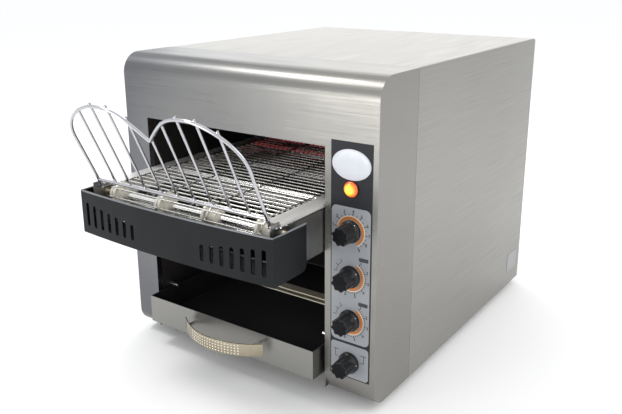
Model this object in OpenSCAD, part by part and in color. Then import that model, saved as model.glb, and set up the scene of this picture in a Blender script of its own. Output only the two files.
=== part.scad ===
// Conveyor toaster: a stainless steel casing with a wire belt that carries bread between quartz heaters.
// All lengths are in millimetres. The casing's foot is z = 0 in the modules, and place() sets the part
// on its rubber feet with the origin under the middle of its outline. The front faces -Y.

/* [Casing] */
// Width of the casing
body_w = 368; // [340:1:400]
// Height of the casing above its feet
body_h = 368; // [340:1:400]
// Depth of the casing, from the front face to the back panel
body_d = 445; // [436:1:500]
// Thickness of the stainless steel sheet
sheet_t = 1.2; // [0.8:0.1:1.5]
// Depth of the rolled front, from its face to the seam
fascia_d = 82; // [60:1:90]
// Outer radius of the roll along the top of the front
roll_top_r = 25; // [12:1:35]
// Outer radius of the roll along the foot of the front
roll_foot_r = 22; // [12:1:30]
// Radius of the long top edges of the cover
cover_edge_r = 3; // [2:0.5:8]
// Height of the rubber feet
foot_h = 10; // [6:1:20]
// Diameter of the rubber feet
foot_d = 28; // [20:1:32]

/* [Opening] */
// Width of the left column beside the opening
column_w = 37; // [32:1:42]
// Width of the right column, which carries the controls
controls_w = 65; // [60:1:70]
// Height of the header above the opening
header_h = 77.5; // [74:0.5:84]
// Depth of the flange that is turned in round the opening
jamb_d = 8; // [5:1:12]
// Radius of the inner foot corner of each column
column_foot_r = 6; // [3:1:10]

/* [Conveyor] */
// Distance between the outer rows of belt hooks and the sides of the opening
belt_inset = 23; // [21:0.5:33]
// Distance between two cross wires of the belt
belt_pitch = 10.5; // [10:0.1:11]
// Diameter of the belt wire
wire_d = 2; // [1.6:0.1:2.2]
// Number of belt pitches between the two shafts
belt_spaces = 36; // [34:1:37]
// Teeth on each belt sprocket
belt_teeth = 8; // [8:1:8]
// Distance between the top of the opening and the belt's upper run
belt_drop = 63; // [60:0.5:68]
// How far the front shaft stands in front of the casing
shaft_out = 70; // [62:1:74]
// Diameter of both belt shafts
shaft_d = 8; // [6:0.5:9]
// Thickness of the conveyor's side plates and guide rails
plate_t = 1.5; // [1:0.1:1.5]
// Height of the side plates
plate_h = 48.7; // [45:0.1:52]
// How far the side plates reach in front of the front shaft
plate_nose = 22; // [20:0.5:24]
// Width of the guide rail on each side of the belt
rail_w = 18; // [15:0.5:18]

/* [Front guard] */
// How far each wing of the black front guard stands outside the opening's side
guard_over = 9; // [5:0.5:11]
// Height of the front guard
guard_h = 51.5; // [46:0.5:56]
// Distance of the guard's front corners from the casing
guard_out = 102; // [100:1:112]
// How far the guard's front bows out in its middle
guard_bow = 6; // [3:0.5:12]
// Length of the guard's side wings
guard_wing = 55; // [48:1:60]
// Thickness of the guard sheet
guard_t = 1.5; // [1:0.1:2]
// Depth of the guard's floor behind its front corners
guard_floor = 44; // [14:1:46]
// Number of slots in each half of the guard
guard_slots = 7; // [3:1:7]

/* [Loading rack] */
// Distance between the rack's outer rods and the sides of the opening
rack_inset = 5; // [4:0.5:10]
// Height of the two humps above the foot rod
rack_h = 109.5; // [90:0.5:125]
// Height of the dip between the humps
rack_dip = 78; // [60:1:90]
// Lean of the rack, out from upright
rack_lean = 25; // [15:1:26]
// Diameter of the outer rods
rack_rod_d = 4; // [3:0.5:4.5]
// Diameter of the inner wires
rack_wire_d = 2.8; // [2:0.1:3.2]
// Number of inner wires
rack_wires = 9; // [5:2:11]

/* [Drawer] */
// Height of the toast drawer
drawer_h = 35.5; // [28:0.5:36]
// Length of the toast drawer
drawer_l = 288; // [240:1:290]
// How far the drawer stands out of the front
drawer_out = 18; // [5:1:40]
// Gap between the drawer and each side of the opening
drawer_gap = 4; // [3:0.5:8]
// Length of the handle strap between its ends
handle_l = 121; // [100:1:160]
// Height of the handle strap
handle_h = 16; // [14:0.5:24]
// How far the handle strap bows out from its ends
handle_bow = 21.5; // [12:0.5:30]
// Distance between the ends of the handle strap and the drawer
handle_gap = 9; // [5:0.5:14]

/* [Heaters] */
// Diameter of the quartz heater tubes
tube_d = 10; // [8:0.5:11]
// Distance between the top of the opening and the upper heater tubes
top_tube_drop = 18.5; // [14:0.5:24]
// Distance of the first upper tube from the front
top_tube_y = 90; // [60:1:110]
// Distance between upper tubes
top_tube_step = 70; // [50:1:80]
// Distance of the first lower tube from the front
low_tube_y = 205; // [190:1:210]
// Distance between the two lower tubes
low_tube_step = 58; // [40:1:62]

/* [Controls] */
// Width of the control label
label_w = 50.5; // [46:0.5:54]
// Height of the control label
label_h = 270.5; // [262:0.5:276]
// Height of the label's lower edge
label_z = 29; // [26:0.5:34]
// Diameter of a knob's skirt
knob_d = 24.6; // [20:0.2:28]
// Length of a knob
knob_l = 22; // [16:0.5:26]
// Height of the lowest knob
knob_z = 48.5; // [46:0.5:52]
// Distance between knobs
knob_step = 51.5; // [46:0.5:52]
// Height of the indicator lamp
lamp_z = 249.5; // [244:0.5:250]
// Diameter of the lamp lens
lamp_d = 16.5; // [12:0.5:18]

/* [Drive] */
// Teeth on the chain wheel of the belt's drive shaft
wheel_teeth = 18; // [16:1:19]
// Teeth on the gearbox's chain wheel
pinion_teeth = 12; // [11:1:13]
// Pitch of the drive chain
chain_pitch = 6.35; // [6.35:0.01:6.35]
// Number of chain links, an even number
chain_links = 44; // [42:2:46]
// Size of the cooling fan
fan_size = 60; // [50:1:60]
// Height of the fan's axle
fan_z = 118; // [110:1:140]
// Diameter of the mains cord that the gland takes
cord_d = 9; // [7:0.5:10]

/* [Hidden] */
$fn = 48;

// Clearances and small parts
gap = 0.3;
run_gap = 0.04;
cut = 1;

// Casing and opening
opening_w = body_w - column_w - controls_w;
opening_top = body_h - header_h;
open_x0 = -body_w / 2 + column_w;
open_x1 = open_x0 + opening_w;
mid_x = (open_x0 + open_x1) / 2;
base_z = sheet_t + gap;
base_front = 45;
wall_y0 = jamb_d + gap;
rear_room = 60;
wall_y1 = body_d - rear_room;
roof_z = opening_top + 9.5;
insulation_h = 30;
flange_w = 12;
cross_rail_z = 104;
cross_rail_h = 6.5;
vent_gap = 4;
vent_step = 12;
vent_l = 60;
vent_low_z = 60;
vent_drop = 138;
vent_top_z = body_h - vent_drop;
base_vent_l = 40;
base_vent_y = 140;
foot_inset_x = 36;
foot_front_y = fascia_d + 18;
foot_back_y = body_d - 45;

// Conveyor
belt_w = opening_w - 2 * belt_inset;
belt_z = opening_top - belt_drop;
wire_r = wire_d / 2;
link_r = wire_r * 0.8;
shaft_r = shaft_d / 2;
belt_r = belt_pitch / (2 * sin(180 / belt_teeth));
axis_z = belt_z - belt_r;
front_axis_y = -shaft_out;
rear_axis_y = front_axis_y + belt_spaces * belt_pitch;
low_run_z = axis_z - belt_r;
belt_rows = [-belt_w / 2, -belt_w / 6, belt_w / 6, belt_w / 2];
link_slant = 4;
wire_over = 1.2;
plate_gap = 1.5;
plate_x = opening_w / 2 - plate_gap;
plate_top = belt_z - 6.3;
plate_y0 = front_axis_y - plate_nose;
plate_y1 = rear_axis_y + 16;
ear_l = 14;
ear_h = 8;
bush_r = shaft_r + 1.5;
bush_flange_r = bush_r + 1.2;
bush_flange_t = 1;
tooth_h = 1.5;
tooth_w = 3;
hub_r = shaft_r + 5;
hub_w = 18;
disc_offset = link_slant / 2 + link_r + tooth_w / 2 + gap;
rail_top = belt_z - 0.5;
rail_lip = 4;
rail_web_h = 22;
rail_y0 = plate_y0 + ear_l + 2;
rail_web_x = plate_x - 8;
rail_web_y0 = front_axis_y + 25;
rail_web_y1 = rear_axis_y - 12;
rod_r = 2.5;
support_rod_y = 20;
support_rod_step = 75;
support_rod_z = rail_top - plate_t - gap - rod_r;
bolt_r = 2;

// Rack
rack_w = opening_w - 2 * rack_inset;
rack_pivot_y = plate_y0 + ear_l / 2;
rack_pivot_z = plate_top + ear_h - 5;
rack_foot_rise = 9.5;
rack_foot_out = 3.5;
rod_rad = rack_rod_d / 2;
rack_pin_r = 2;
rack_side_h = rack_h - 49;
rack_half = rack_w / 2 - rod_rad;
hump_x = rack_half * 0.52;

// Drawer
drawer_w = opening_w - 2 * drawer_gap;
drawer_y0 = -drawer_out;
drawer_z = 21.8;
drawer_t = sheet_t;
handle_t = 1.5;
handle_x = mid_x + 3;
handle_z = drawer_z + 21;
post_r = 2.5;
post_neck_r = 1.6;
post_inset = 12;
post_x = handle_l / 2 - post_inset;
post_z = handle_z + 3;
pin_r = 2.5;
stop_y = 21;
stop_z = drawer_z + drawer_h + 0.7 + pin_r;
stop_l = 16;
stop_tab = 6;
runner_w = 12;
runner_h = 8;
runner_spare = 60;
runner_y1 = drawer_y0 + drawer_l + runner_spare;

// Heaters
tube_r = tube_d / 2;
tube_hole_r = tube_r + 1;
top_tube_z = opening_top - top_tube_drop;
cap_r = tube_r + 4;
cap_l = 10;
tube_end = 8;
top_tube_ys = [for (i = [0:2]) top_tube_y + i * top_tube_step];
low_tube_ys = [for (i = [0:1]) low_tube_y + i * low_tube_step];

// Controls
control_x = (open_x1 + body_w / 2) / 2 + 0.75;
label_t = 0.5;
knob_r = knob_d / 2;
skirt_t = 3.2;
knob_gap = 0.5;
grip_r = knob_r * 0.79;
knob_shaft_r = 3;
bushing_r = 4.6;
control_r = 12;
control_l = 16;
badge_w = 47;
badge_h = 33;
badge_drop = 24;
badge_z = label_z + label_h - badge_drop;
badge_t = 0.6;
plate_label_t = 0.3;
plate_label_l = 36;
plate_label_h = 28;
plate_label_z = 22;
plate_label_edge = 13;
lamp_r = lamp_d / 2;
lamp_neck_r = 6;
lamp_flange_t = 1.5;
lamp_l = 28;

// Drive
chain_r = 1.65;
wheel_x = open_x1 + sheet_t + 12;
wheel_w = 2.4;
wheel_tip = 0.6;
chain_side_t = 1.2;
chain_half_w = 2.6;
wheel_r = chain_pitch / (2 * sin(180 / wheel_teeth));
pinion_r = chain_pitch / (2 * sin(180 / pinion_teeth));
straight = (chain_links - (wheel_teeth + pinion_teeth) / 2) * chain_pitch / 2;
chain_c = sqrt(pow(straight, 2) + pow(wheel_r - pinion_r, 2)) - 0.09;
chain_tilt = asin((wheel_r - pinion_r) / chain_c);
gear_y = rear_axis_y;
gear_z = axis_z - chain_c;
gearbox_x = wheel_x + 8;
gearbox_w = 38;
gearbox_d = 48;
gearbox_h = 58;
motor_r = 19;
motor_l = 75;
motor_drop = 8;
motor_cap_l = 8;
bracket_t = 2;
gear_shaft_r = 4;

// Fan and cord entry
fan_x = open_x1 + sheet_t + 30.3;
fan_t = 20;
fan_r = fan_size / 2 - 2;
fan_hub_r = 13;
fan_axle_r = 1.5;
gland_x = fan_x;
gland_z = 46;
gland_out = 16;
gland_in = 14;
gland_r = cord_d / 2 + 5.5;
back_y = body_d - sheet_t;

// Outline of the whole part, for its origin
rack_reach = rack_foot_out - rack_pivot_y + rack_h * sin(rack_lean) + rod_rad;
front_reach = max(rack_reach, guard_out + guard_bow);
rear_reach = body_d + gland_out;
y_mid = (rear_reach - front_reach) / 2;

module place() { translate([0, -y_mid, foot_h]) children(); }

// Shapes that repeat
module block(x, y, z) { translate([x[0], y[0], z[0]]) cube([x[1] - x[0], y[1] - y[0], z[1] - z[0]]); }
module rod_x(x, y, z, r) { translate([x[0], y, z]) rotate([0, 90, 0]) cylinder(r = r, h = x[1] - x[0]); }
module rod_y(x, y, z, r) { translate([x, y[1], z]) rotate([90, 0, 0]) cylinder(r = r, h = y[1] - y[0]); }
module rod_z(x, y, z, r) { translate([x, y, z[0]]) cylinder(r = r, h = z[1] - z[0]); }
module slot_y(x, y, z, r) {
    rod_y(x, y, z[0] + r, r);
    rod_y(x, y, z[1] - r, r);
    block([x - r, x + r], y, [z[0] + r, z[1] - r]);
}

// A closed round tube swept along a list of points
function unit(v) = v / norm(v);
function ahead(p, i) = i < len(p) - 1 ? unit(p[i + 1] - p[i]) : [0, 0, 0];
function behind(p, i) = i > 0 ? unit(p[i] - p[i - 1]) : [0, 0, 0];
function way(p, i) = unit(ahead(p, i) + behind(p, i));
function carry(n, t) = unit(n - (n * t) * t);
function carried(p, i, n) = i == 0 ? carry(n, way(p, 0)) : carry(carried(p, i - 1, n), way(p, i));
function ring(c, t, n, r, sides) =
    [for (j = [0:sides - 1]) c + r * (cos(360 * j / sides) * n + sin(360 * j / sides) * cross(t, n))];
function side_faces(i, sides) = [for (j = [0:sides - 1], k = [0:1])
    let (a = i * sides + j, b = i * sides + (j + 1) % sides)
    k == 0 ? [a, a + sides, b] : [b, a + sides, b + sides]];
module tube(p, r, start, sides = 8) {
    last = len(p) - 1;
    rings = [for (i = [0:last]) each ring(p[i], way(p, i), carried(p, i, start), r, sides)];
    walls = [for (i = [0:last - 1]) each side_faces(i, sides)];
    caps = [[for (j = [0:sides - 1]) j], [for (j = [sides - 1:-1:0]) last * sides + j]];
    polyhedron(points = rings, faces = concat(walls, caps));
}
function bezier(a, b, c, d, t) =
    pow(1 - t, 3) * a + 3 * pow(1 - t, 2) * t * b + 3 * (1 - t) * t * t * c + pow(t, 3) * d;

// Casing ------------------------------------------------------------------------------------------

module corner(r) {
    difference() {
        translate([-cut, 0]) square([r + cut, r + cut]);
        translate([r, 0]) circle(r);
    }
}

// Side view of the rolled front: Y to the right and Z up, open at the back
module roll_profile(d, h, rt, rf) {
    difference() {
        square([d, h]);
        translate([0, h - rt]) corner(rt);
        translate([0, rf]) mirror([0, 1]) corner(rf);
    }
}

module roll_bar(x, inset, d) {
    translate([x[0], inset, inset]) rotate([90, 0, 90]) linear_extrude(x[1] - x[0])
        roll_profile(d, body_h - 2 * inset, roll_top_r - inset, roll_foot_r - inset);
}

module column_foot_cut(x, side) {
    difference() {
        block(side > 0 ? [x - cut, x + column_foot_r] : [x - column_foot_r, x + cut],
            [-cut, fascia_d + cut], [-cut, column_foot_r]);
        rod_y(x + side * column_foot_r, [-2 * cut, fascia_d + 2 * cut], column_foot_r, column_foot_r);
    }
}

module fascia() {
    w = body_w / 2;
    color("gainsboro") place() difference() {
        union() {
            difference() {
                roll_bar([-w, w], 0, fascia_d);
                roll_bar([-w + sheet_t, w - sheet_t], sheet_t, fascia_d);
                block([open_x0, open_x1], [-cut, fascia_d + cut], [-cut, opening_top]);
            }
            block([open_x0 - sheet_t, open_x0], [0, jamb_d], [column_foot_r, opening_top]);
            block([open_x1, open_x1 + sheet_t], [0, jamb_d], [column_foot_r, opening_top]);
            block([open_x0 - sheet_t, open_x1 + sheet_t], [0, jamb_d], [opening_top, opening_top + sheet_t]);
        }
        column_foot_cut(open_x1, 1);
        column_foot_cut(open_x0, -1);
        for (i = [0:3]) rod_y(control_x, [-cut, sheet_t + cut], knob_z + i * knob_step, bushing_r + 0.2);
        rod_y(control_x, [-cut, sheet_t + cut], lamp_z, lamp_neck_r + 0.2);
    }
}

module arch(w, h, r) {
    difference() {
        translate([-w / 2, 0]) square([w, h]);
        translate([-w / 2, h - r]) corner(r);
        translate([w / 2, h - r]) mirror([1, 0]) corner(r);
    }
}

module wrap_cover() {
    w = body_w / 2;
    y = [fascia_d + gap, body_d];
    color("silver") place() {
        translate([0, body_d, 0]) rotate([90, 0, 0]) linear_extrude(y[1] - y[0]) difference() {
            arch(body_w, body_h, cover_edge_r);
            translate([0, -cut]) arch(body_w - 2 * sheet_t, body_h - sheet_t + cut, cover_edge_r - sheet_t);
        }
        block([-w + sheet_t, -w + flange_w], y, [0, sheet_t]);
        block([w - flange_w, w - sheet_t], y, [0, sheet_t]);
    }
}

module vent_row(x, y, z) {
    for (i = [0:7]) block([x, x + vent_l], y, [z + i * vent_step, z + i * vent_step + vent_gap]);
}

module back_panel() {
    w = body_w / 2 - sheet_t - gap;
    z = [base_z, body_h - sheet_t - gap];
    y = [back_y - flange_w, body_d];
    hole = [back_y - cut, body_d + cut];
    color("lightgray") place() difference() {
        translate([0, y[1], z[0]]) rotate([90, 0, 0]) linear_extrude(y[1] - y[0])
            arch(2 * w, z[1] - z[0], cover_edge_r - sheet_t - gap);
        block([-w + sheet_t, w - sheet_t], [y[0] - cut, back_y], [z[0] + sheet_t, z[1] - sheet_t]);
        rod_y(fan_x, hole, fan_z, fan_r);
        rod_y(gland_x, hole, gland_z, gland_r - 1.4);
        for (i = [0:3]) vent_row(open_x0 + i * (vent_l + 20) - 3, hole, vent_top_z);
        for (i = [0:1]) vent_row(open_x0 + i * (vent_l + 20) - 3, hole, vent_low_z);
        for (p = screw_places) rod_y(p[0], hole, p[1], 2);
    }
}

module base_plate() {
    w = body_w / 2 - sheet_t - gap;
    color("lightgray") place() difference() {
        block([-w, w], [base_front, back_y - flange_w - gap], [base_z, base_z + sheet_t]);
        for (i = [0:5]) translate([0, base_vent_y + i * vent_step, 0])
            block([control_x - base_vent_l / 2, control_x + base_vent_l / 2], [0, vent_gap],
            [base_z - cut, base_z + sheet_t + cut]);
    }
}

module feet() {
    color("dimgray") place() for (x = [-1, 1], y = [foot_front_y, foot_back_y])
        translate([x * (body_w / 2 - foot_inset_x), y, -foot_h])
            cylinder(r1 = foot_d / 2 - 1.5, r2 = foot_d / 2, h = foot_h + base_z);
}

screw_edge = 8;
screw_corner = 30;
screw_top_x = 70;
screw_places = [for (x = [-1, 1], z = [screw_corner, body_h / 2, body_h - screw_corner])
    [x * (body_w / 2 - screw_edge), z],
    for (x = [-1, 1]) [x * screw_top_x, body_h - screw_edge - 1]];

module cover_screws() {
    color("gray") place() for (p = screw_places) {
        rod_y(p[0], [back_y - 5, body_d], p[1], 1.9);
        difference() {
            rod_y(p[0], [body_d, body_d + 2], p[1], 3.6);
            block([p[0] - 2.6, p[0] + 2.6], [body_d + 1, body_d + 2 + cut], [p[1] - 0.5, p[1] + 0.5]);
            block([p[0] - 0.5, p[0] + 0.5], [body_d + 1, body_d + 2 + cut], [p[1] - 2.6, p[1] + 2.6]);
        }
    }
}

module rating_plate() {
    y = body_d - plate_label_edge;
    color("whitesmoke") place() block([body_w / 2, body_w / 2 + plate_label_t],
        [y - plate_label_l, y], [plate_label_z, plate_label_z + plate_label_h]);
}

module cable_gland() {
    color("dimgray") place() difference() {
        union() {
            rod_y(gland_x, [back_y - gland_in, body_d], gland_z, gland_r - 1.5);
            rod_y(gland_x, [body_d, body_d + 5], gland_z, gland_r + 3, $fn = 6);
            rod_y(gland_x, [back_y - 6, back_y - 2], gland_z, gland_r + 2, $fn = 6);
            rod_y(gland_x, [back_y - 2, back_y], gland_z, gland_r + 1);
            rod_y(gland_x, [body_d + 5, body_d + gland_out], gland_z, gland_r);
        }
        rod_y(gland_x, [back_y - gland_in - cut, body_d + gland_out + cut], gland_z, cord_d / 2);
    }
}

// Oven --------------------------------------------------------------------------------------------

module tube_holes(x, r) {
    for (y = top_tube_ys) rod_x(x, y, top_tube_z, r);
    for (y = low_tube_ys) rod_x(x, y, axis_z, r);
}

module conveyor_bolt_holes(x, r) {
    for (y = conveyor_bolt_ys) rod_x(x, y, conveyor_bolt_z, r);
}

conveyor_bolt_ys = [30, rear_axis_y - 30];
conveyor_bolt_z = plate_top - 34;

module oven_wall(x, shaft_hole) {
    through = [x[0] - cut, x[1] + cut];
    difference() {
        block(x, [wall_y0, wall_y1], [base_z + sheet_t, roof_z]);
        block(through, [wall_y0 - cut, base_front], [base_z, 12]);
        tube_holes(through, tube_hole_r);
        conveyor_bolt_holes(through, bolt_r + 0.1);
        if (shaft_hole) rod_x(through, rear_axis_y, axis_z, bush_flange_r + 2);
    }
}

module oven_wall_left() {
    color("darkgray") place() oven_wall([open_x0 - sheet_t, open_x0], false);
}

module oven_wall_right() {
    color("darkgray") place() oven_wall([open_x1, open_x1 + sheet_t], true);
}

module oven_roof() {
    x = [open_x0 - sheet_t, open_x1 + sheet_t];
    color("darkgray") place() {
        block(x, [wall_y0, wall_y1], [roof_z, roof_z + sheet_t]);
        block([open_x0 + gap, open_x1 - gap], [wall_y0, wall_y0 + sheet_t], [opening_top + sheet_t, roof_z]);
    }
}

module insulation() {
    color("wheat") place() block([open_x0, open_x1], [wall_y0 + 6, wall_y1 - 6],
        [roof_z + sheet_t, roof_z + sheet_t + insulation_h]);
}

slide_top = [wall_y1 - 9, plate_top - plate_h - 2];
slide_foot = [160, drawer_z + drawer_h + 14];

module rear_deflector() {
    x = [open_x0 + gap, open_x1 - gap];
    y = slide_top[0];
    color("darkgray") place() {
        block(x, [y, y + sheet_t], [slide_top[1], roof_z]);
        for (s = [x[0], x[1] - sheet_t])
            block([s, s + sheet_t], [y - flange_w, y], [slide_top[1] + 20, roof_z]);
    }
}

module toast_slide() {
    x = [open_x0 + gap, open_x1 - gap];
    run = slide_top[0] - slide_foot[0];
    rise = slide_top[1] - slide_foot[1] - gap;
    color("silver") place() difference() {
        translate([x[0], 0, 0]) rotate([90, 0, 90]) linear_extrude(x[1] - x[0]) polygon([
            slide_foot, slide_foot + [run, rise], slide_foot + [run, rise + flange_w],
            slide_foot + [0, flange_w]]);
        translate([x[0] + sheet_t, 0, 0]) rotate([90, 0, 90]) linear_extrude(x[1] - x[0] - 2 * sheet_t)
            polygon([slide_foot + [-cut, sheet_t * 1.1], slide_foot + [run + cut, rise + sheet_t * 1.1],
            slide_foot + [run + cut, rise + 2 * flange_w], slide_foot + [-cut, 2 * flange_w]]);
    }
}

module front_cross_rail() {
    x = [open_x0 + gap, open_x1 - gap];
    z = [cross_rail_z, cross_rail_z + cross_rail_h];
    color("silver") place() difference() {
        block(x, [wall_y0, wall_y0 + flange_w], z);
        block([x[0] - cut, x[1] + cut], [wall_y0 - cut, wall_y0 + flange_w - sheet_t],
            [z[0] + sheet_t, z[1] - sheet_t]);
    }
}

module heater_row(ys, z) {
    for (y = ys) rod_x([open_x0 - sheet_t - tube_end, open_x1 + sheet_t + tube_end], y, z, tube_r);
}

module top_heaters() { color("mistyrose") place() heater_row(top_tube_ys, top_tube_z); }
module bottom_heaters() { color("orangered") place() heater_row(low_tube_ys, axis_z); }

module end_cap(x, y, z, side) {
    difference() {
        rod_x(side > 0 ? [x, x + cap_l] : [x - cap_l, x], y, z, cap_r);
        rod_x(side > 0 ? [x - cut, x + tube_end] : [x - tube_end, x + cut], y, z, tube_r + 0.05);
    }
}

module heater_end_caps() {
    places = concat([for (y = top_tube_ys) [y, top_tube_z]], [for (y = low_tube_ys) [y, axis_z]]);
    color("ivory") place() for (p = places) {
        end_cap(open_x1 + sheet_t, p[0], p[1], 1);
        end_cap(open_x0 - sheet_t, p[0], p[1], -1);
    }
}

// Conveyor ----------------------------------------------------------------------------------------

module side_plate(side) {
    inner = plate_x - plate_t;
    x = side > 0 ? [inner, plate_x] : [-plate_x, -inner];
    through = [x[0] - cut, x[1] + cut];
    translate([mid_x, 0, 0]) difference() {
        union() {
            block(x, [plate_y0, plate_y1], [plate_top - plate_h, plate_top]);
            block(x, [plate_y0, plate_y0 + ear_l], [plate_top, plate_top + ear_h]);
        }
        for (y = [front_axis_y, rear_axis_y]) rod_x(through, y, axis_z, bush_r);
        rod_x(through, rack_pivot_y, rack_pivot_z, rack_pin_r + run_gap);
        for (y = low_tube_ys) rod_x(through, y, axis_z, tube_hole_r);
        for (y = rail_bolt_ys) rod_x(through, y, rail_bolt_z, bolt_r + 0.1);
        conveyor_bolt_holes(through, bolt_r + 0.1);
    }
}

module side_plate_left() { color("lightgray") place() side_plate(-1); }
module side_plate_right() { color("lightgray") place() side_plate(1); }

rail_bolt_ys = [16, low_tube_y - 40];
rail_bolt_z = axis_z;

module guide_rail(side) {
    x = [plate_x - rail_w, plate_x];
    web = [rail_web_x - plate_t, rail_web_x];
    translate([mid_x, 0, 0]) mirror([side > 0 ? 0 : 1, 0, 0]) difference() {
        union() {
            block(x, [rail_y0, rail_web_y1], [rail_top - plate_t, rail_top]);
            block([plate_x - plate_t, plate_x], [rail_y0, rail_web_y1], [rail_top - rail_lip, rail_top]);
            block(web, [rail_web_y0, rail_web_y1], [rail_top - rail_web_h, rail_top]);
        }
        for (y = rail_bolt_ys) rod_x([web[0] - cut, web[1] + cut], y, rail_bolt_z, bolt_r + 0.1);
        for (y = low_tube_ys) rod_x([web[0] - cut, web[1] + cut], y, axis_z, tube_hole_r);
    }
}

module guide_rail_left() { color("lightgray") place() guide_rail(-1); }
module guide_rail_right() { color("lightgray") place() guide_rail(1); }

module belt_wire(y, z) {
    half = belt_w / 2 + link_slant / 2 + wire_over;
    rod_x([mid_x - half, mid_x + half], y, z, wire_r);
}

// A link leans from one cross wire to the next, at each bend row of the belt
module belt_links(from, to) {
    d = to - from;
    for (row = belt_rows) translate([mid_x + row - link_slant / 2, from[0], from[1]])
        link_rod([link_slant, d[0], d[1]]);
}

module link_rod(v) {
    long = norm(v);
    rotate([0, acos(v[2] / long), atan2(v[1], v[0])]) cylinder(r = link_r, h = long);
}

module belt_run(z) {
    for (k = [1:belt_spaces - 1]) belt_wire(front_axis_y + k * belt_pitch, z);
    for (k = [1:belt_spaces - 2]) belt_links([front_axis_y + k * belt_pitch, z],
        [front_axis_y + (k + 1) * belt_pitch, z]);
}

module belt_top_run() { color("silver") place() belt_run(belt_z); }
module belt_bottom_run() { color("silver") place() belt_run(low_run_z); }

function turn_point(axis_y, side, k) =
    [axis_y + side * belt_r * sin(k * 360 / belt_teeth), axis_z + belt_r * cos(k * 360 / belt_teeth)];

module belt_turn(axis_y, side) {
    for (k = [0:belt_teeth / 2]) {
        p = turn_point(axis_y, side, k);
        belt_wire(p[0], p[1]);
        if (k > 0) belt_links(turn_point(axis_y, side, k - 1), p);
    }
    reach = belt_pitch - wire_r - gap;
    for (z = [belt_z, low_run_z]) belt_links([axis_y, z], [axis_y - side * reach, z]);
}

module belt_front_turn() { color("silver") place() belt_turn(front_axis_y, -1); }
module belt_rear_turn() { color("silver") place() belt_turn(rear_axis_y, 1); }

module belt_support_rods() {
    half = rail_web_x - plate_t;
    color("silver") place() for (i = [0:3])
        rod_x([mid_x - half, mid_x + half], support_rod_y + i * support_rod_step, support_rod_z, rod_r);
}

// A hub under each bend row of the belt, with its toothed disc beside the row's links
module belt_sprocket(row, y) {
    notch_r = wire_r + 0.35;
    translate([mid_x + row, y, axis_z]) rotate([0, 90, 0]) difference() {
        union() {
            cylinder(r = hub_r, h = hub_w, center = true);
            translate([0, 0, -sign(row) * disc_offset])
                cylinder(r = belt_r + tooth_h, h = tooth_w, center = true);
        }
        cylinder(r = shaft_r, h = hub_w + 2 * cut, center = true);
        for (k = [0:belt_teeth - 1]) rotate([0, 0, k * 360 / belt_teeth]) {
            translate([belt_r, 0, 0]) cylinder(r = notch_r, h = hub_w, center = true);
            translate([belt_r, -notch_r, -hub_w / 2]) cube([tooth_h + cut, 2 * notch_r, hub_w]);
        }
    }
}

module idler_shaft() {
    end = plate_x + 3.5;
    color("white") place() {
        rod_x([mid_x - end, mid_x + end], front_axis_y, axis_z, shaft_r);
    }
}

module idler_sprockets() { color("beige") place() for (row = belt_rows) belt_sprocket(row, front_axis_y); }

module drive_shaft() {
    color("white") place() rod_x([open_x0 + gap, wheel_x + 5], rear_axis_y, axis_z, shaft_r);
}

module drive_sprockets() { color("beige") place() for (row = belt_rows) belt_sprocket(row, rear_axis_y); }

// A flanged bush fills each bearing hole of the side plates
module shaft_bushes() {
    inner = plate_x - plate_t;
    color("goldenrod") place() for (y = [front_axis_y, rear_axis_y], side = [-1, 1])
        translate([mid_x, 0, 0]) mirror([side > 0 ? 0 : 1, 0, 0]) difference() {
            union() {
                rod_x([inner - bush_flange_t, plate_x], y, axis_z, bush_r);
                rod_x([inner - bush_flange_t, inner], y, axis_z, bush_flange_r);
            }
            rod_x([inner - bush_flange_t - cut, plate_x + cut], y, axis_z, shaft_r + run_gap);
        }
}

module conveyor_bolts() {
    color("gray") place() {
        for (y = rail_bolt_ys, side = [-1, 1]) translate([mid_x, 0, 0]) mirror([side > 0 ? 0 : 1, 0, 0]) {
            rod_x([rail_web_x - plate_t - 2, plate_x], y, rail_bolt_z, bolt_r);
            rod_x([rail_web_x, plate_x - plate_t], y, rail_bolt_z, bolt_r + 2);
            rod_x([rail_web_x - plate_t - 3.2, rail_web_x - plate_t], y, rail_bolt_z, bolt_r + 1.6);
        }
        for (y = conveyor_bolt_ys, side = [-1, 1]) translate([mid_x, 0, 0]) mirror([side > 0 ? 0 : 1, 0, 0]) {
            rod_x([plate_x - plate_t - 4, opening_w / 2 + sheet_t + 1], y, conveyor_bolt_z, bolt_r);
            rod_x([plate_x, opening_w / 2], y, conveyor_bolt_z, bolt_r + 3);
            rod_x([plate_x - plate_t - 3.2, plate_x - plate_t], y, conveyor_bolt_z, bolt_r + 1.6);
            rod_x([opening_w / 2 + sheet_t, opening_w / 2 + sheet_t + 3], y, conveyor_bolt_z, bolt_r + 2);
        }
    }
}

// Front guard -------------------------------------------------------------------------------------

guard_w = opening_w + 2 * guard_over;
guard_r = (pow(guard_w / 2, 2) + pow(guard_bow, 2)) / (2 * guard_bow);
guard_z1 = belt_z - 6.5;
guard_z0 = guard_z1 - guard_h;
guard_fn = 720;
guard_corner_r = 8;
guard_slot_r = 2.6;
guard_slot_step = 13.1;
guard_slot_end = 11.4;
guard_slot_foot = 9.5;
spacer_r = 4;
spacer_z = guard_z0 + 16;
spacer_ys = [plate_y0 + 2 * spacer_r, guard_wing - guard_out - 2.25 * spacer_r];

module guard_block(inset, z) {
    intersection() {
        block([mid_x - guard_w / 2 + inset, mid_x + guard_w / 2 - inset],
            [-guard_out - guard_bow - cut, -guard_out + guard_wing + (inset > 0 ? cut : 0)], z);
        rod_z(mid_x, -guard_out - guard_bow + guard_r, z, guard_r - inset, $fn = guard_fn);
    }
}

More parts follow.
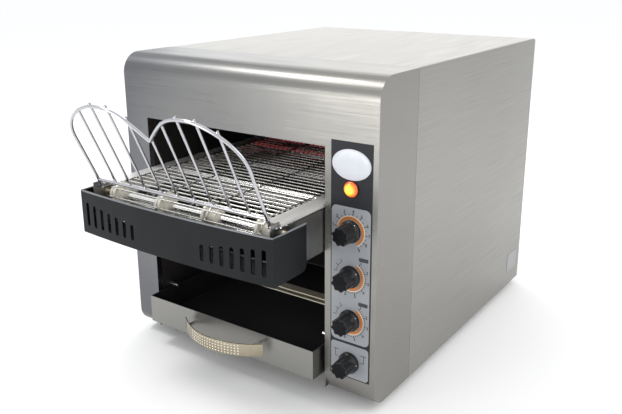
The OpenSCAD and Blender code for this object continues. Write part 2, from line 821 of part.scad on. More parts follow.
// The slots stand in from each wing and grow taller towards it
module guard_slot(k, side) {
    z = guard_z0 + guard_slot_foot;
    x = guard_w / 2 - guard_slot_end - guard_slot_step * (guard_slots - 1 - k);
    slot_y(mid_x + side * x, [-guard_out - guard_bow - cut, -guard_out + guard_corner_r],
        [z, z + 18.5 + 1.7 * k], guard_slot_r);
}

module front_guard() {
    wing_end = -guard_out + guard_wing;
    color("darkslategray") place() difference() {
        guard_block(0, [guard_z0, guard_z1]);
        guard_block(guard_t, [guard_z0 + guard_t, guard_z1 + cut]);
        block([mid_x - guard_w / 2 + flange_w, mid_x + guard_w / 2 - flange_w],
            [guard_floor - guard_out, wing_end + cut], [guard_z0 - cut, guard_z0 + guard_t + cut]);
        for (k = [0:guard_slots - 1], side = [-1, 1]) guard_slot(k, side);
        difference() {
            block([mid_x - guard_w, mid_x + guard_w], [wing_end - guard_corner_r, wing_end + cut],
                [guard_z0 - cut, guard_z0 + guard_corner_r]);
            rod_x([mid_x - guard_w - cut, mid_x + guard_w + cut], wing_end - guard_corner_r,
                guard_z0 + guard_corner_r, guard_corner_r);
        }
    }
}

module guard_spacers() {
    color("gray") place() for (y = spacer_ys, side = [-1, 1])
        translate([mid_x, 0, 0]) mirror([side > 0 ? 0 : 1, 0, 0])
            rod_x([plate_x, guard_w / 2 - guard_t], y, spacer_z, spacer_r);
}

// Loading rack ------------------------------------------------------------------------------------

// A point of the rack from its place across (x), up its lean (u) and behind its plane (n)
function rack_point(x, u, n) = [mid_x + x,
    rack_pivot_y - rack_foot_out - u * sin(rack_lean) + n * cos(rack_lean),
    rack_pivot_z + rack_foot_rise + u * cos(rack_lean) + n * sin(rack_lean)];

outer_curve = [for (i = [0:9]) bezier([rack_half, rack_side_h], [rack_half, rack_side_h + 32],
    [hump_x + 16, rack_h], [hump_x, rack_h], i / 9)];
inner_curve = [for (i = [1:9]) bezier([hump_x, rack_h], [hump_x - 32, rack_h],
    [hump_x * 0.4, rack_h - 10], [3, rack_dip], i / 9)];
half_outline = concat([[rack_half - 1.5, 0]], outer_curve, inner_curve);
function outline_side(side) = [for (p = half_outline) rack_point(side * p[0], p[1], 0)];
function turned(list) = [for (i = [len(list) - 1:-1:0]) list[i]];
function outline_height(x) = lookup(abs(x), [for (p = turned(half_outline)) [p[0], p[1]]]);

module rack_wire(x) {
    behind = rod_rad + rack_wire_d / 2 - 0.2;
    a = rack_point(x, -2, behind);
    b = rack_point(x, outline_height(x) + 2, behind);
    translate(a) rotate([rack_lean, 0, 0]) cylinder(d = rack_wire_d, h = norm(b - a));
}

// Each side rod runs on past the foot rod to a pin that turns in the ear of a side plate
module rack_foot(side) {
    x = mid_x + side * (rack_half - 1.5);
    leg = [for (t = [0:4]) bezier(rack_point(side * (rack_half - 1.5), 0.5, 0),
        rack_point(side * (rack_half - 1.5), -5, 0), [x, rack_pivot_y, rack_pivot_z + 4],
        [x, rack_pivot_y, rack_pivot_z], t / 4)];
    tube(leg, rod_rad, [0, 1, 0]);
    pin = side * (plate_x - rack_half + 4.5);
    rod_x([min(x - side, x + pin), max(x - side, x + pin)], rack_pivot_y, rack_pivot_z, rack_pin_r);
}

module load_rack() {
    outline = concat(outline_side(1), turned(outline_side(-1)));
    step = rack_w / (rack_wires + 1.3);
    foot = rack_point(0, 0, 0);
    color("white") place() {
        tube(outline, rod_rad, [0, cos(rack_lean), sin(rack_lean)]);
        rod_x([mid_x - rack_half + 1.5, mid_x + rack_half - 1.5], foot[1], foot[2], rod_rad * 0.9);
        for (i = [0:rack_wires - 1]) rack_wire((i - (rack_wires - 1) / 2) * step);
        for (side = [-1, 1]) rack_foot(side);
    }
}

// Drawer ------------------------------------------------------------------------------------------

module drawer_pan() {
    x = [mid_x - drawer_w / 2, mid_x + drawer_w / 2];
    y = [drawer_y0, drawer_y0 + drawer_l];
    z = [drawer_z, drawer_z + drawer_h];
    color("silver") place() {
        difference() {
            block(x, y, z);
            block([x[0] + drawer_t, x[1] - drawer_t], [y[0] + drawer_t, y[1] - drawer_t],
                [z[0] + drawer_t, z[1] + cut]);
            for (s = [-1, 1])
                rod_y(handle_x + s * post_x, [y[0] - cut, y[0] + drawer_t + cut], post_z, post_neck_r);
        }
        for (s = [x[0], x[1] - drawer_t - 8]) block([s, s + 8 + drawer_t], [y[1] - drawer_t, y[1]],
            [z[1], z[1] + stop_tab]);
    }
}

// A point of the strap's back (out = 0) or front (out = handle_t); u runs from -1 to 1 along it
function bow_point(u, out) = [u * handle_l / 2, -handle_gap - handle_bow * (1 - u * u) - out];

module drawer_handle() {
    steps = 24;
    us = [for (i = [0:steps]) -1 + 2 * i / steps];
    front = [for (u = us) bow_point(u, handle_t)];
    back = [for (i = [steps:-1:0]) bow_point(us[i], 0)];
    dots = 15;
    rows = 4;
    color("wheat") place() translate([handle_x, drawer_y0, handle_z - handle_h / 2]) difference() {
        linear_extrude(handle_h) polygon(concat(front, back));
        for (i = [0:dots - 1], k = [0:rows - 1])
            rod_y((i / (dots - 1) * 1.07 - 0.5) * handle_l / 2, [-3 * handle_bow, 0],
                handle_h / 2 + (k - (rows - 1) / 2) * handle_h / (rows + 0.6), 0.9, $fn = 16);
    }
}

module handle_posts() {
    u = post_x / (handle_l / 2);
    tip = drawer_y0 + bow_point(u + 2 * post_r / handle_l, 0)[1];
    color("silver") place() for (s = [-1, 1]) {
        rod_y(handle_x + s * post_x, [tip, drawer_y0], post_z, post_r);
        rod_y(handle_x + s * post_x, [drawer_y0, drawer_y0 + drawer_t], post_z, post_neck_r);
        rod_y(handle_x + s * post_x, [drawer_y0 + drawer_t, drawer_y0 + drawer_t + 2], post_z, 3);
    }
}

module drawer_runners() {
    color("silver") place() for (side = [-1, 1]) translate([mid_x, 0, 0]) mirror([side > 0 ? 0 : 1, 0, 0]) {
        top = drawer_z - gap;
        block([opening_w / 2 - runner_w, opening_w / 2], [wall_y0, runner_y1], [top - sheet_t, top]);
        block([opening_w / 2 - sheet_t, opening_w / 2], [wall_y0, runner_y1], [top, drawer_z + runner_h]);
    }
}

module drawer_stop_pins() {
    color("gray") place() for (side = [-1, 1]) translate([mid_x, 0, 0]) mirror([side > 0 ? 0 : 1, 0, 0])
        rod_x([opening_w / 2 - stop_l, opening_w / 2], stop_y, stop_z, pin_r);
}

// Controls ----------------------------------------------------------------------------------------

module control_label() {
    x = [control_x - label_w / 2, control_x + label_w / 2];
    color("dimgray") place() difference() {
        block(x, [-label_t, 0], [label_z, label_z + label_h]);
        for (i = [0:3]) rod_y(control_x, [-label_t - cut, cut], knob_z + i * knob_step, bushing_r + 0.2);
        rod_y(control_x, [-label_t - cut, cut], lamp_z, lamp_neck_r + 0.2);
    }
}

module badge_plate() {
    oval = [for (a = [0:7.5:352.5]) [badge_w / 2 * cos(a), badge_h / 2 * sin(a)]];
    color("white") place() translate([control_x, -label_t, badge_z]) rotate([90, 0, 0])
        linear_extrude(badge_t) polygon(oval);
}

module lamp_body() {
    color("dimgray") place() {
        rod_y(control_x, [-label_t, lamp_l], lamp_z, lamp_neck_r);
        rod_y(control_x, [-label_t - lamp_flange_t, -label_t], lamp_z, lamp_r + 0.8);
    }
}

module lamp_lens() {
    color("orange") place() translate([control_x, -label_t - lamp_flange_t, lamp_z]) rotate([90, 0, 0])
        intersection() {
            translate([0, 0, -lamp_r * 0.45]) sphere(r = lamp_r * 1.1);
            cylinder(r = lamp_r, h = lamp_r);
        }
}

module knob(z) {
    color("black") place() translate([control_x, -label_t - knob_gap, z]) rotate([90, 0, 0]) difference() {
        union() {
            cylinder(r = knob_r, h = skirt_t);
            difference() {
                cylinder(r = grip_r, h = knob_l);
                for (k = [0:7]) rotate([0, 0, 22.5 + k * 45]) translate([grip_r + 1.6, 0, skirt_t])
                    cylinder(r = 2.8, h = knob_l);
            }
        }
        translate([0, 0, -cut]) cylinder(r = knob_shaft_r, h = knob_l - 4 + cut);
    }
    color("silver") place()
        rod_y(control_x, [-label_t - knob_gap - knob_l + 4, control_l - 1], z, knob_shaft_r);
}

module power_knob() { knob(knob_z); }
module bottom_heat_knob() { knob(knob_z + knob_step); }
module top_heat_knob() { knob(knob_z + 2 * knob_step); }
module speed_knob() { knob(knob_z + 3 * knob_step); }

module control_bodies() {
    color("saddlebrown") place() for (i = [0:3]) difference() {
        z = knob_z + i * knob_step;
        union() {
            rod_y(control_x, [sheet_t, sheet_t + control_l], z, control_r);
            rod_y(control_x, [-label_t + 0.1, sheet_t], z, bushing_r);
            block([control_x - 9, control_x + 9], [sheet_t + 6, sheet_t + 7.5], [z - control_r - 7, z]);
        }
        rod_y(control_x, [-label_t - cut, control_l - 1], z, knob_shaft_r + run_gap);
    }
}

// Drive -------------------------------------------------------------------------------------------

// Teeth of a chain wheel: round gullets at its pitch circle
module chain_wheel(y, z, teeth, r, turn) {
    translate([wheel_x, y, z]) rotate([0, 90, 0]) rotate([0, 0, turn]) difference() {
        union() {
            translate([0, 0, -wheel_w / 2]) cylinder(r = r + wheel_tip, h = wheel_w);
            translate([0, 0, -7]) cylinder(r = gear_shaft_r + 4, h = 12);
        }
        translate([0, 0, -8]) cylinder(r = gear_shaft_r, h = 15);
        for (k = [0:teeth - 1]) rotate([0, 0, k * 360 / teeth]) translate([r, 0, -wheel_w])
            cylinder(r = chain_r + 0.15, h = 2 * wheel_w);
    }
}

// Chain path, counted in pitches from the top of the upper wheel: over the wheel, down, round, and up
wrap_top = 180 + 2 * chain_tilt;
wrap_low = 180 - 2 * chain_tilt;
n_top = wrap_top * wheel_teeth / 360;
n_low = wrap_low * pinion_teeth / 360;
n_straight = (chain_links - n_top - n_low) / 2;
function arc_point(cy, cz, r, a) = [cy + r * sin(a), cz + r * cos(a)];
function chain_point(s, off) = let (
        a_end = wrap_top / 2,
        down0 = arc_point(gear_y, axis_z, wheel_r + off, a_end),
        down1 = arc_point(gear_y, gear_z, pinion_r + off, a_end),
        up0 = arc_point(gear_y, gear_z, pinion_r + off, -a_end),
        up1 = arc_point(gear_y, axis_z, wheel_r + off, -a_end))
    s < n_top / 2 ? arc_point(gear_y, axis_z, wheel_r + off, s * 360 / wheel_teeth)
    : s < n_top / 2 + n_straight ? down0 + (down1 - down0) * (s - n_top / 2) / n_straight
    : s < n_top / 2 + n_straight + n_low
        ? arc_point(gear_y, gear_z, pinion_r + off, a_end + (s - n_top / 2 - n_straight) * 360 / pinion_teeth)
    : s < n_top / 2 + 2 * n_straight + n_low
        ? up0 + (up1 - up0) * (s - n_top / 2 - n_straight - n_low) / n_straight
    : arc_point(gear_y, axis_z, wheel_r + off, (s - chain_links) * 360 / wheel_teeth);

module chain_band(x, off) {
    translate([x[0], 0, 0]) rotate([90, 0, 90]) linear_extrude(x[1] - x[0])
        polygon([for (s = [0:0.5:chain_links - 0.5]) chain_point(s, off)]);
}

module drive_chain() {
    inner = wheel_w / 2 + 0.3;
    outer = inner + chain_side_t;
    color("darkgray") place() {
        for (x = [[wheel_x - outer, wheel_x - inner], [wheel_x + inner, wheel_x + outer]]) difference() {
            chain_band(x, chain_half_w);
            chain_band([x[0] - cut, x[1] + cut], -chain_half_w);
        }
        for (k = [0:chain_links - 1]) {
            p = chain_point(k, 0);
            rod_x([wheel_x - inner - 0.2, wheel_x + inner + 0.2], p[0], p[1], chain_r);
        }
    }
}

module driven_chain_wheel() {
    color("gray") place() chain_wheel(rear_axis_y, axis_z, wheel_teeth, wheel_r, 0);
}

// The lower wheel is turned so that a gullet meets the chain's first roller on it
function pinion_phase() = let (first = ceil(n_top / 2 + n_straight))
    wrap_top / 2 + (first - n_top / 2 - n_straight) * 360 / pinion_teeth;

module motor_chain_wheel() {
    color("gray") place() chain_wheel(gear_y, gear_z, pinion_teeth, pinion_r, 180 - pinion_phase());
}

module gearbox() {
    color("slategray") place() difference() {
        block([gearbox_x + bracket_t, gearbox_x + bracket_t + gearbox_w],
            [gear_y - gearbox_d / 2, gear_y + gearbox_d / 2],
            [gear_z - gearbox_h / 2, gear_z + gearbox_h / 2]);
        rod_x([gearbox_x, gearbox_x + bracket_t + 20], gear_y, gear_z, gear_shaft_r + run_gap);
    }
}

module gearbox_shaft() {
    color("white") place() rod_x([wheel_x - 8, gearbox_x + bracket_t + 18], gear_y, gear_z, gear_shaft_r);
}

module drive_motor() {
    x = gearbox_x + bracket_t + gearbox_w / 2;
    y1 = gear_y - gearbox_d / 2;
    color("dimgray") place() {
        rod_y(x, [y1 - motor_l + motor_cap_l, y1 - 6], gear_z - motor_drop, motor_r);
        rod_y(x, [y1 - 6, y1], gear_z - motor_drop, motor_r * 0.7);
        rod_y(x, [y1 - motor_l, y1 - motor_l + motor_cap_l], gear_z - motor_drop, motor_cap_l);
    }
}

module motor_bracket() {
    x = [gearbox_x, gearbox_x + bracket_t];
    y = [gear_y - gearbox_d / 2, gear_y + gearbox_d / 2];
    foot = base_z + sheet_t;
    color("silver") place() difference() {
        union() {
            block(x, y, [foot, gear_z + gearbox_h / 2]);
            block([x[0], x[0] + gearbox_w], y, [foot, foot + bracket_t]);
        }
        rod_x([x[0] - cut, x[1] + cut], gear_y, gear_z, gear_shaft_r + 2);
    }
}

module fan_frame() {
    y = [back_y - fan_t, back_y];
    half = fan_size / 2;
    color("black") place() difference() {
        union() {
            difference() {
                block([fan_x - half, fan_x + half], y, [fan_z - half, fan_z + half]);
                rod_y(fan_x, [y[0] - cut, y[1] + cut], fan_z, fan_r);
            }
            for (a = [45, 135]) translate([fan_x, y[0], fan_z]) rotate([0, a, 0])
                translate([-fan_r - 1, 0, -1.5]) cube([2 * fan_r + 2, 3, 3]);
            rod_y(fan_x, [y[0], y[0] + 4], fan_z, fan_hub_r);
        }
        rod_y(fan_x, [y[0] - cut, y[1] + cut], fan_z, fan_axle_r + run_gap);
    }
}

module fan_rotor() {
    y = [back_y - fan_t + 5, back_y - 3];
    color("dimgray") place() {
        rod_y(fan_x, y, fan_z, fan_hub_r - 0.5);
        rod_y(fan_x, [back_y - fan_t + 1, y[0]], fan_z, fan_axle_r);
        for (k = [0:6]) translate([fan_x, (y[0] + y[1]) / 2, fan_z]) rotate([0, k * 360 / 7, 0])
            translate([fan_hub_r - 2, 0, 0]) rotate([35, 0, 0])
                translate([0, -0.8, -8]) cube([fan_r - fan_hub_r + 0.5, 1.6, 16]);
    }
}

module fan_guard() {
    y = [body_d, body_d + 2];
    color("silver") place() {
        for (r = [8, 15, 22, fan_r]) difference() {
            rod_y(fan_x, y, fan_z, r + 0.9);
            rod_y(fan_x, [y[0] - cut, y[1] + cut], fan_z, r - 0.9);
        }
        for (a = [0, 90]) translate([fan_x, y[0] + 1, fan_z]) rotate([0, a, 0])
            translate([-fan_r - 4, -1, -0.9]) cube([2 * fan_r + 8, 2, 1.8]);
    }
}

fascia();
wrap_cover();
back_panel();
base_plate();
feet();
oven_wall_left();
oven_wall_right();
oven_roof();
insulation();
rear_deflector();
toast_slide();
front_cross_rail();
top_heaters();
bottom_heaters();
heater_end_caps();
side_plate_left();
side_plate_right();
guide_rail_left();
guide_rail_right();
belt_top_run();
belt_bottom_run();
belt_front_turn();
belt_rear_turn();
belt_support_rods();
idler_shaft();
idler_sprockets();
shaft_bushes();
drive_shaft();
drive_sprockets();
driven_chain_wheel();
motor_chain_wheel();
drive_chain();
gearbox();
gearbox_shaft();
drive_motor();
motor_bracket();
fan_frame();
fan_rotor();
fan_guard();
front_guard();
guard_spacers();
conveyor_bolts();
load_rack();
drawer_pan();
drawer_handle();
handle_posts();
drawer_runners();
drawer_stop_pins();
control_label();
badge_plate();
lamp_lens();
lamp_body();
speed_knob();
top_heat_knob();
bottom_heat_knob();
power_knob();
control_bodies();
rating_plate();
cable_gland();
cover_screws();
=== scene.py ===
# %% [markdown]
# # A conveyor toaster, dressed for its photograph
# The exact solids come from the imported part. They hold still here. This script gives them finishes, adds
# the pieces that a bending machine or a mould leaves smoother than flat facets, and sets up the camera,
# the light and the floor. Every length is in metres.

# %% Load the frame
import math

import bpy
from mathutils import Matrix, Vector


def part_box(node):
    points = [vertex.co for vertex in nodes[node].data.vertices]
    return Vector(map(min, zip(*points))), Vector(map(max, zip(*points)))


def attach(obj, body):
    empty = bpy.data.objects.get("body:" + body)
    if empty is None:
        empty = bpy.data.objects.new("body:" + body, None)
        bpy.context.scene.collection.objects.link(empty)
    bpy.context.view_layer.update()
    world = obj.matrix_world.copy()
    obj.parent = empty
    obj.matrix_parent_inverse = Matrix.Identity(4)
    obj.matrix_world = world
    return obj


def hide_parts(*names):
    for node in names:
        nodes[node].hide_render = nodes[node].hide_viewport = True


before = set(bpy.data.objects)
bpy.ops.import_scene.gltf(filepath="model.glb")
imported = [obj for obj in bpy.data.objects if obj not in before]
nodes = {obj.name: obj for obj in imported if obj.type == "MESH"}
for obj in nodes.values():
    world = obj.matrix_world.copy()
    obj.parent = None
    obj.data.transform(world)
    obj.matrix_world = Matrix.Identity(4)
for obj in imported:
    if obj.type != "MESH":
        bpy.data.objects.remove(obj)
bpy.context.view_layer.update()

# %% [markdown]
# The toaster was measured in millimetres from the front face of its casing and from the casing's foot.
# `at` turns such a place into the frame, whose origin lies on the counter under the outline's middle. The
# belt, the rack and the guard share a middle of their own, left of the casing's.

# %% Places in millimetres
MM = 0.001
FOOT_HEIGHT = 10.0
FRONT_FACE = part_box("fascia")[0].y / MM
CONVEYOR_X = -14.0


def at(x, y, z):
    return Vector((x * MM, (FRONT_FACE + y) * MM, (FOOT_HEIGHT + z) * MM))


print("front face at y =", round(FRONT_FACE, 3), "mm, conveyor at x =", CONVEYOR_X, "mm")

# %% [markdown]
# ## The camera
# The camera stands where the photographer stood. Its place and turn were worked out from the straight
# edges of the casing, and the small shift puts the picture's centre where the photograph has it.

# %% Camera
CAMERA_PLACE = Vector((0.53971, -0.78828, 0.48637))
CAMERA_RIGHT = Vector((0.8187, 0.5742, -0.0041))
CAMERA_UP = Vector((-0.1568, 0.2304, 0.9604))
CAMERA_FORWARD = Vector((-0.5524, 0.7857, -0.2787))

bpy.ops.object.select_all(action="DESELECT")
bpy.ops.object.camera_add(location=CAMERA_PLACE)
camera = bpy.context.object
camera.name = "photo_camera"
turn = Matrix((CAMERA_RIGHT, CAMERA_UP, -CAMERA_FORWARD)).transposed()
camera.matrix_world = Matrix.Translation(CAMERA_PLACE) @ turn.to_4x4()
camera.data.sensor_fit = "HORIZONTAL"
camera.data.sensor_width = 36.0
camera.data.lens = 43.0148
camera.data.shift_x = 0.0017695
camera.data.shift_y = -0.0487918
camera.data.clip_start = 0.01
camera.data.clip_end = 40.0
bpy.context.scene.camera = camera
print("camera", [round(v, 3) for v in camera.location])

# %% [markdown]
# ## Finishes
# A finish starts with its shader, and then gets its unevenness. The noise reads Object coordinates, so it
# stays with the piece. Stretching the noise along one direction turns spots into brush lines.

# %% A shader and its noise
def plain_finish(name, color, roughness, metallic=0.0, **sockets):
    finish = bpy.data.materials.new(name)
    finish.use_nodes = True
    shader = finish.node_tree.nodes["Principled BSDF"]
    shader.inputs["Base Color"].default_value = (*color, 1.0)
    shader.inputs["Roughness"].default_value = roughness
    shader.inputs["Metallic"].default_value = metallic
    for socket, value in sockets.items():
        shader.inputs[socket.replace("_", " ")].default_value = value
    return finish


def noise_value(finish, scale, stretch=(1, 1, 1), detail=4.0):
    tree = finish.node_tree
    place = tree.nodes.new("ShaderNodeTexCoord")
    mapping = tree.nodes.new("ShaderNodeMapping")
    noise = tree.nodes.new("ShaderNodeTexNoise")
    mapping.inputs["Scale"].default_value = stretch
    noise.inputs["Scale"].default_value = scale
    noise.inputs["Detail"].default_value = detail
    tree.links.new(place.outputs["Object"], mapping.inputs["Vector"])
    tree.links.new(mapping.outputs["Vector"], noise.inputs["Vector"])
    return noise.outputs["Fac"]

# %% [markdown]
# A noise value lies mostly between 0.3 and 0.7. It is spread over the roughness that the finish needs, is
# turned into a colour by a ramp, or raises the surface through a bump.

# %% What the noise moves
def spread(finish, value, low, high):
    tree = finish.node_tree
    ranged = tree.nodes.new("ShaderNodeMapRange")
    ranged.inputs["From Min"].default_value = 0.3
    ranged.inputs["From Max"].default_value = 0.7
    ranged.inputs["To Min"].default_value = low
    ranged.inputs["To Max"].default_value = high
    tree.links.new(value, ranged.inputs["Value"])
    return ranged.outputs["Result"]


def vary_color(finish, value, dark, light):
    tree = finish.node_tree
    ramp = tree.nodes.new("ShaderNodeValToRGB")
    ramp.color_ramp.elements[0].position = 0.3
    ramp.color_ramp.elements[1].position = 0.7
    ramp.color_ramp.elements[0].color = (*dark, 1.0)
    ramp.color_ramp.elements[1].color = (*light, 1.0)
    tree.links.new(value, ramp.inputs["Fac"])
    tree.links.new(ramp.outputs["Color"], tree.nodes["Principled BSDF"].inputs["Base Color"])
    return ramp.outputs["Color"]


def vary_roughness(finish, value, low, high):
    shader = finish.node_tree.nodes["Principled BSDF"]
    finish.node_tree.links.new(spread(finish, value, low, high), shader.inputs["Roughness"])


def raise_surface(finish, value, strength, height):
    tree = finish.node_tree
    bump = tree.nodes.new("ShaderNodeBump")
    bump.inputs["Strength"].default_value = strength
    bump.inputs["Distance"].default_value = height
    tree.links.new(value, bump.inputs["Height"])
    tree.links.new(bump.outputs["Normal"], tree.nodes["Principled BSDF"].inputs["Normal"])

# %% [markdown]
# Two small tools finish the set: a math node adds or tests two values, and a point's place in its piece
# is split into its three coordinates.

# %% Sums, tests and places
def math_node(finish, operation, *values):
    """A math node between two values, each of them a number or another node's output."""
    tree = finish.node_tree
    node = tree.nodes.new("ShaderNodeMath")
    node.operation = operation
    for socket, value in zip(node.inputs, values):
        if isinstance(value, float):
            socket.default_value = value
        else:
            tree.links.new(value, socket)
    return node.outputs[0]


def object_place(finish):
    """The three coordinates of a point in its piece, as outputs named X, Y and Z."""
    tree = finish.node_tree
    place = tree.nodes.new("ShaderNodeTexCoord")
    parts = tree.nodes.new("ShaderNodeSeparateXYZ")
    tree.links.new(place.outputs["Object"], parts.inputs["Vector"])
    return parts.outputs

# %% [markdown]
# Most finishes are worked the same way: slow clouds shift the colour, and a finer grain shifts the gloss
# and raises the surface. On a few the tone drifts from one to another along the piece, as painted light
# and shade. `dress` puts a finish on solids of the imported part.

# %% Worked finishes
def worked_finish(name, color, roughness, metallic, cloud, grain, stretch=(1, 1, 1), depth=0.00005,
                  shade=0.08, strength=0.25, **sockets):
    finish = plain_finish(name, color, roughness, metallic, **sockets)
    dark, light = [tuple(c * k for c in color) for k in (1 - shade, 1 + shade)]
    vary_color(finish, noise_value(finish, cloud), dark, light)
    fine = noise_value(finish, grain, stretch, 6.0)
    vary_roughness(finish, fine, roughness * 0.8, roughness * 1.25)
    raise_surface(finish, fine, strength, depth)
    return finish


def painted_light_drift(finish, axis, start, end, first, last):
    """The colour drifts along an axis from one tone to another, as painted light and shade, with slow
    clouds over it.
    """
    tree = finish.node_tree
    along = tree.nodes.new("ShaderNodeMapRange")
    along.inputs["From Min"].default_value = start
    along.inputs["From Max"].default_value = end
    along.inputs["To Min"].default_value = 0.3
    along.inputs["To Max"].default_value = 0.7
    tree.links.new(object_place(finish)[axis], along.inputs["Value"])
    clouds = spread(finish, noise_value(finish, 6), -0.06, 0.06)
    vary_color(finish, math_node(finish, "ADD", along.outputs["Result"], clouds), first, last)


def dress(finish, *names):
    for name in names:
        nodes[name].data.materials.clear()
        nodes[name].data.materials.append(finish)
    print(finish.name, "on", ", ".join(names))

# %% [markdown]
# ### Sheet steel
# The front and the cover are stainless sheet with a fine brush grain. On the front the lines run across,
# so the noise is stretched along X. The front's tone is painted shade and reflection: it drifts from a cool
# dark left to a warm light right. The cover's grain runs front to back.

# %% Outer sheets
ACROSS = (1.0, 90.0, 90.0)
BACKWARD = (90.0, 1.0, 90.0)
FRONT_HALF = 0.184

front_steel_painted_light = worked_finish("brushed_front_steel", (0.24, 0.24, 0.24), 0.33, 1.0, 5, 9, ACROSS,
                            depth=0.00002, shade=0.05, strength=0.06)
# The drift on the front paints shade at its left and reflected light at its right.
painted_light_drift(front_steel_painted_light, "X", -FRONT_HALF, FRONT_HALF, (0.145, 0.150, 0.160), (0.262, 0.255, 0.238))
cover_steel = worked_finish("brushed_cover_steel", (0.305, 0.298, 0.284), 0.36, 1.0, 4, 9, BACKWARD,
                            depth=0.00002, shade=0.04, strength=0.08)
dress(front_steel_painted_light, "fascia")
dress(cover_steel, "wrap_cover", "back_panel")

# %% [markdown]
# Inside the oven the steel has been heated for months and is dull, brown and patchy. The conveyor's
# plates and rails are cleaner, and the small fasteners are bright.

# %% Inner sheets and fasteners
inner_steel = worked_finish("inner_steel", (0.42, 0.42, 0.40), 0.42, 1.0, 12, 10, ACROSS)
oven_steel = worked_finish("heat_stained_steel", (0.034, 0.031, 0.030), 0.6, 0.5, 16, 220, shade=0.45)
plate_steel = worked_finish("conveyor_plate_steel", (0.30, 0.30, 0.29), 0.40, 1.0, 25, 12, BACKWARD,
                            shade=0.2)
bright_steel = worked_finish("bright_steel", (0.66, 0.66, 0.64), 0.24, 1.0, 30, 300, shade=0.08,
                             depth=0.00002)
rail_steel = worked_finish("brushed_rail_steel", (0.95, 0.94, 0.92), 0.34, 0.5, 20, 12, BACKWARD,
                           shade=0.06)
beige_steel = worked_finish("stained_rail_steel", (0.36, 0.34, 0.28), 0.40, 0.8, 12, 10, ACROSS,
                            shade=0.12)
dress(inner_steel, "base_plate", "drawer_runners", "motor_bracket")
dress(oven_steel, "oven_wall_left", "oven_wall_right", "oven_roof", "rear_deflector", "toast_slide")
dress(plate_steel, "side_plate_left", "side_plate_right")
dress(beige_steel, "front_cross_rail")
dress(rail_steel, "guide_rail_left", "guide_rail_right")
dress(bright_steel, "conveyor_bolts", "guard_spacers", "drawer_stop_pins", "handle_posts",
      "cover_screws")

# %% [markdown]
# ### Polished and plated metal
# Ground shafts and chrome wire are nearly mirrors, so their shape shows through what they reflect. A
# little unevenness in the gloss keeps them from looking like glass.

# %% Polished finishes
shaft_steel = worked_finish("ground_shaft_steel", (0.84, 0.84, 0.82), 0.14, 1.0, 40, 60, BACKWARD,
                            shade=0.04)
rack_chrome = worked_finish("chrome_wire", (0.50, 0.50, 0.53), 0.16, 1.0, 25, 260, shade=0.08,
                            depth=0.00002)
fan_chrome = worked_finish("fan_guard_chrome", (0.62, 0.62, 0.63), 0.22, 1.0, 30, 260, shade=0.08)
bush_brass = worked_finish("bush_brass", (0.56, 0.47, 0.32), 0.32, 1.0, 60, 200, shade=0.15)
dress(shaft_steel, "idler_shaft", "drive_shaft", "gearbox_shaft", "belt_support_rods")
dress(fan_chrome, "fan_guard")
dress(bush_brass, "shaft_bushes")

# %% [markdown]
# ### Coated, moulded and fired parts
# The guard is powder coated, which leaves a faint orange peel. The hubs on the front shaft are a cream
# moulding, browned a little by crumbs. The feet are rubber, and the tubes' ends are glazed ceramic.

# %% Coated and moulded finishes
guard_paint = worked_finish("guard_powder_coat", (0.0065, 0.0075, 0.009), 0.42, 0.0, 30, 700, shade=0.12,
                            depth=0.00012, strength=0.3, Specular_IOR_Level=0.14)
hub_cream = worked_finish("cream_hub_moulding", (0.74, 0.71, 0.62), 0.36, 0.0, 90, 300, shade=0.14)
foot_rubber = worked_finish("foot_rubber", (0.025, 0.025, 0.025), 0.75, 0.0, 40, 600, shade=0.2)
end_ceramic = worked_finish("end_cap_ceramic", (0.76, 0.73, 0.66), 0.25, 0.0, 60, 300, shade=0.08)
wool_mat = worked_finish("mineral_wool", (0.66, 0.61, 0.50), 0.9, 0.0, 40, 900, shade=0.3, depth=0.001,
                         strength=0.9)
motor_paint = worked_finish("motor_paint", (0.05, 0.05, 0.055), 0.4, 0.0, 30, 500, shade=0.15)
gear_casting = worked_finish("gearbox_casting", (0.45, 0.46, 0.47), 0.48, 1.0, 30, 420, shade=0.15,
                             depth=0.0002)
chain_steel = worked_finish("oiled_chain_steel", (0.16, 0.15, 0.14), 0.3, 1.0, 60, 260, shade=0.3)
black_moulding = worked_finish("black_moulding", (0.016, 0.016, 0.017), 0.45, 0.0, 40, 800, shade=0.2)
switch_moulding = worked_finish("switch_moulding", (0.20, 0.10, 0.045), 0.45, 0.0, 60, 500, shade=0.15)
lamp_moulding = worked_finish("lamp_moulding", (0.06, 0.012, 0.008), 0.35, 0.0, 60, 500, shade=0.2)
dress(guard_paint, "front_guard")
dress(hub_cream, "idler_sprockets", "drive_sprockets")
dress(foot_rubber, "feet")
dress(end_ceramic, "heater_end_caps")
dress(wool_mat, "insulation")
dress(motor_paint, "drive_motor")
dress(gear_casting, "gearbox")
dress(chain_steel, "drive_chain", "driven_chain_wheel", "motor_chain_wheel")
dress(black_moulding, "fan_frame", "fan_rotor", "cable_gland")
dress(switch_moulding, "control_bodies")
dress(lamp_moulding, "lamp_body")

# %% [markdown]
# ### Heaters and lamp
# The lower tubes are lit. A coil glows inside each tube, so bright bands follow one another along X. The
# upper tubes are unlit, milky quartz. The lamp is brightest in its middle, where its bulb is: a gradient
# over the distance from its axis does that.

# %% Glowing finishes
def glow(finish, color_output, strength):
    shader = finish.node_tree.nodes["Principled BSDF"]
    finish.node_tree.links.new(color_output, shader.inputs["Emission Color"])
    shader.inputs["Emission Strength"].default_value = strength


def banded_glow(name, dark, light, strength, bands):
    finish = plain_finish(name, dark, 0.2)
    tree = finish.node_tree
    place = tree.nodes.new("ShaderNodeTexCoord")
    wave = tree.nodes.new("ShaderNodeTexWave")
    wave.bands_direction = "X"
    wave.inputs["Scale"].default_value = bands
    tree.links.new(place.outputs["Object"], wave.inputs["Vector"])
    glow(finish, vary_color(finish, wave.outputs["Fac"], dark, light), strength)
    return finish


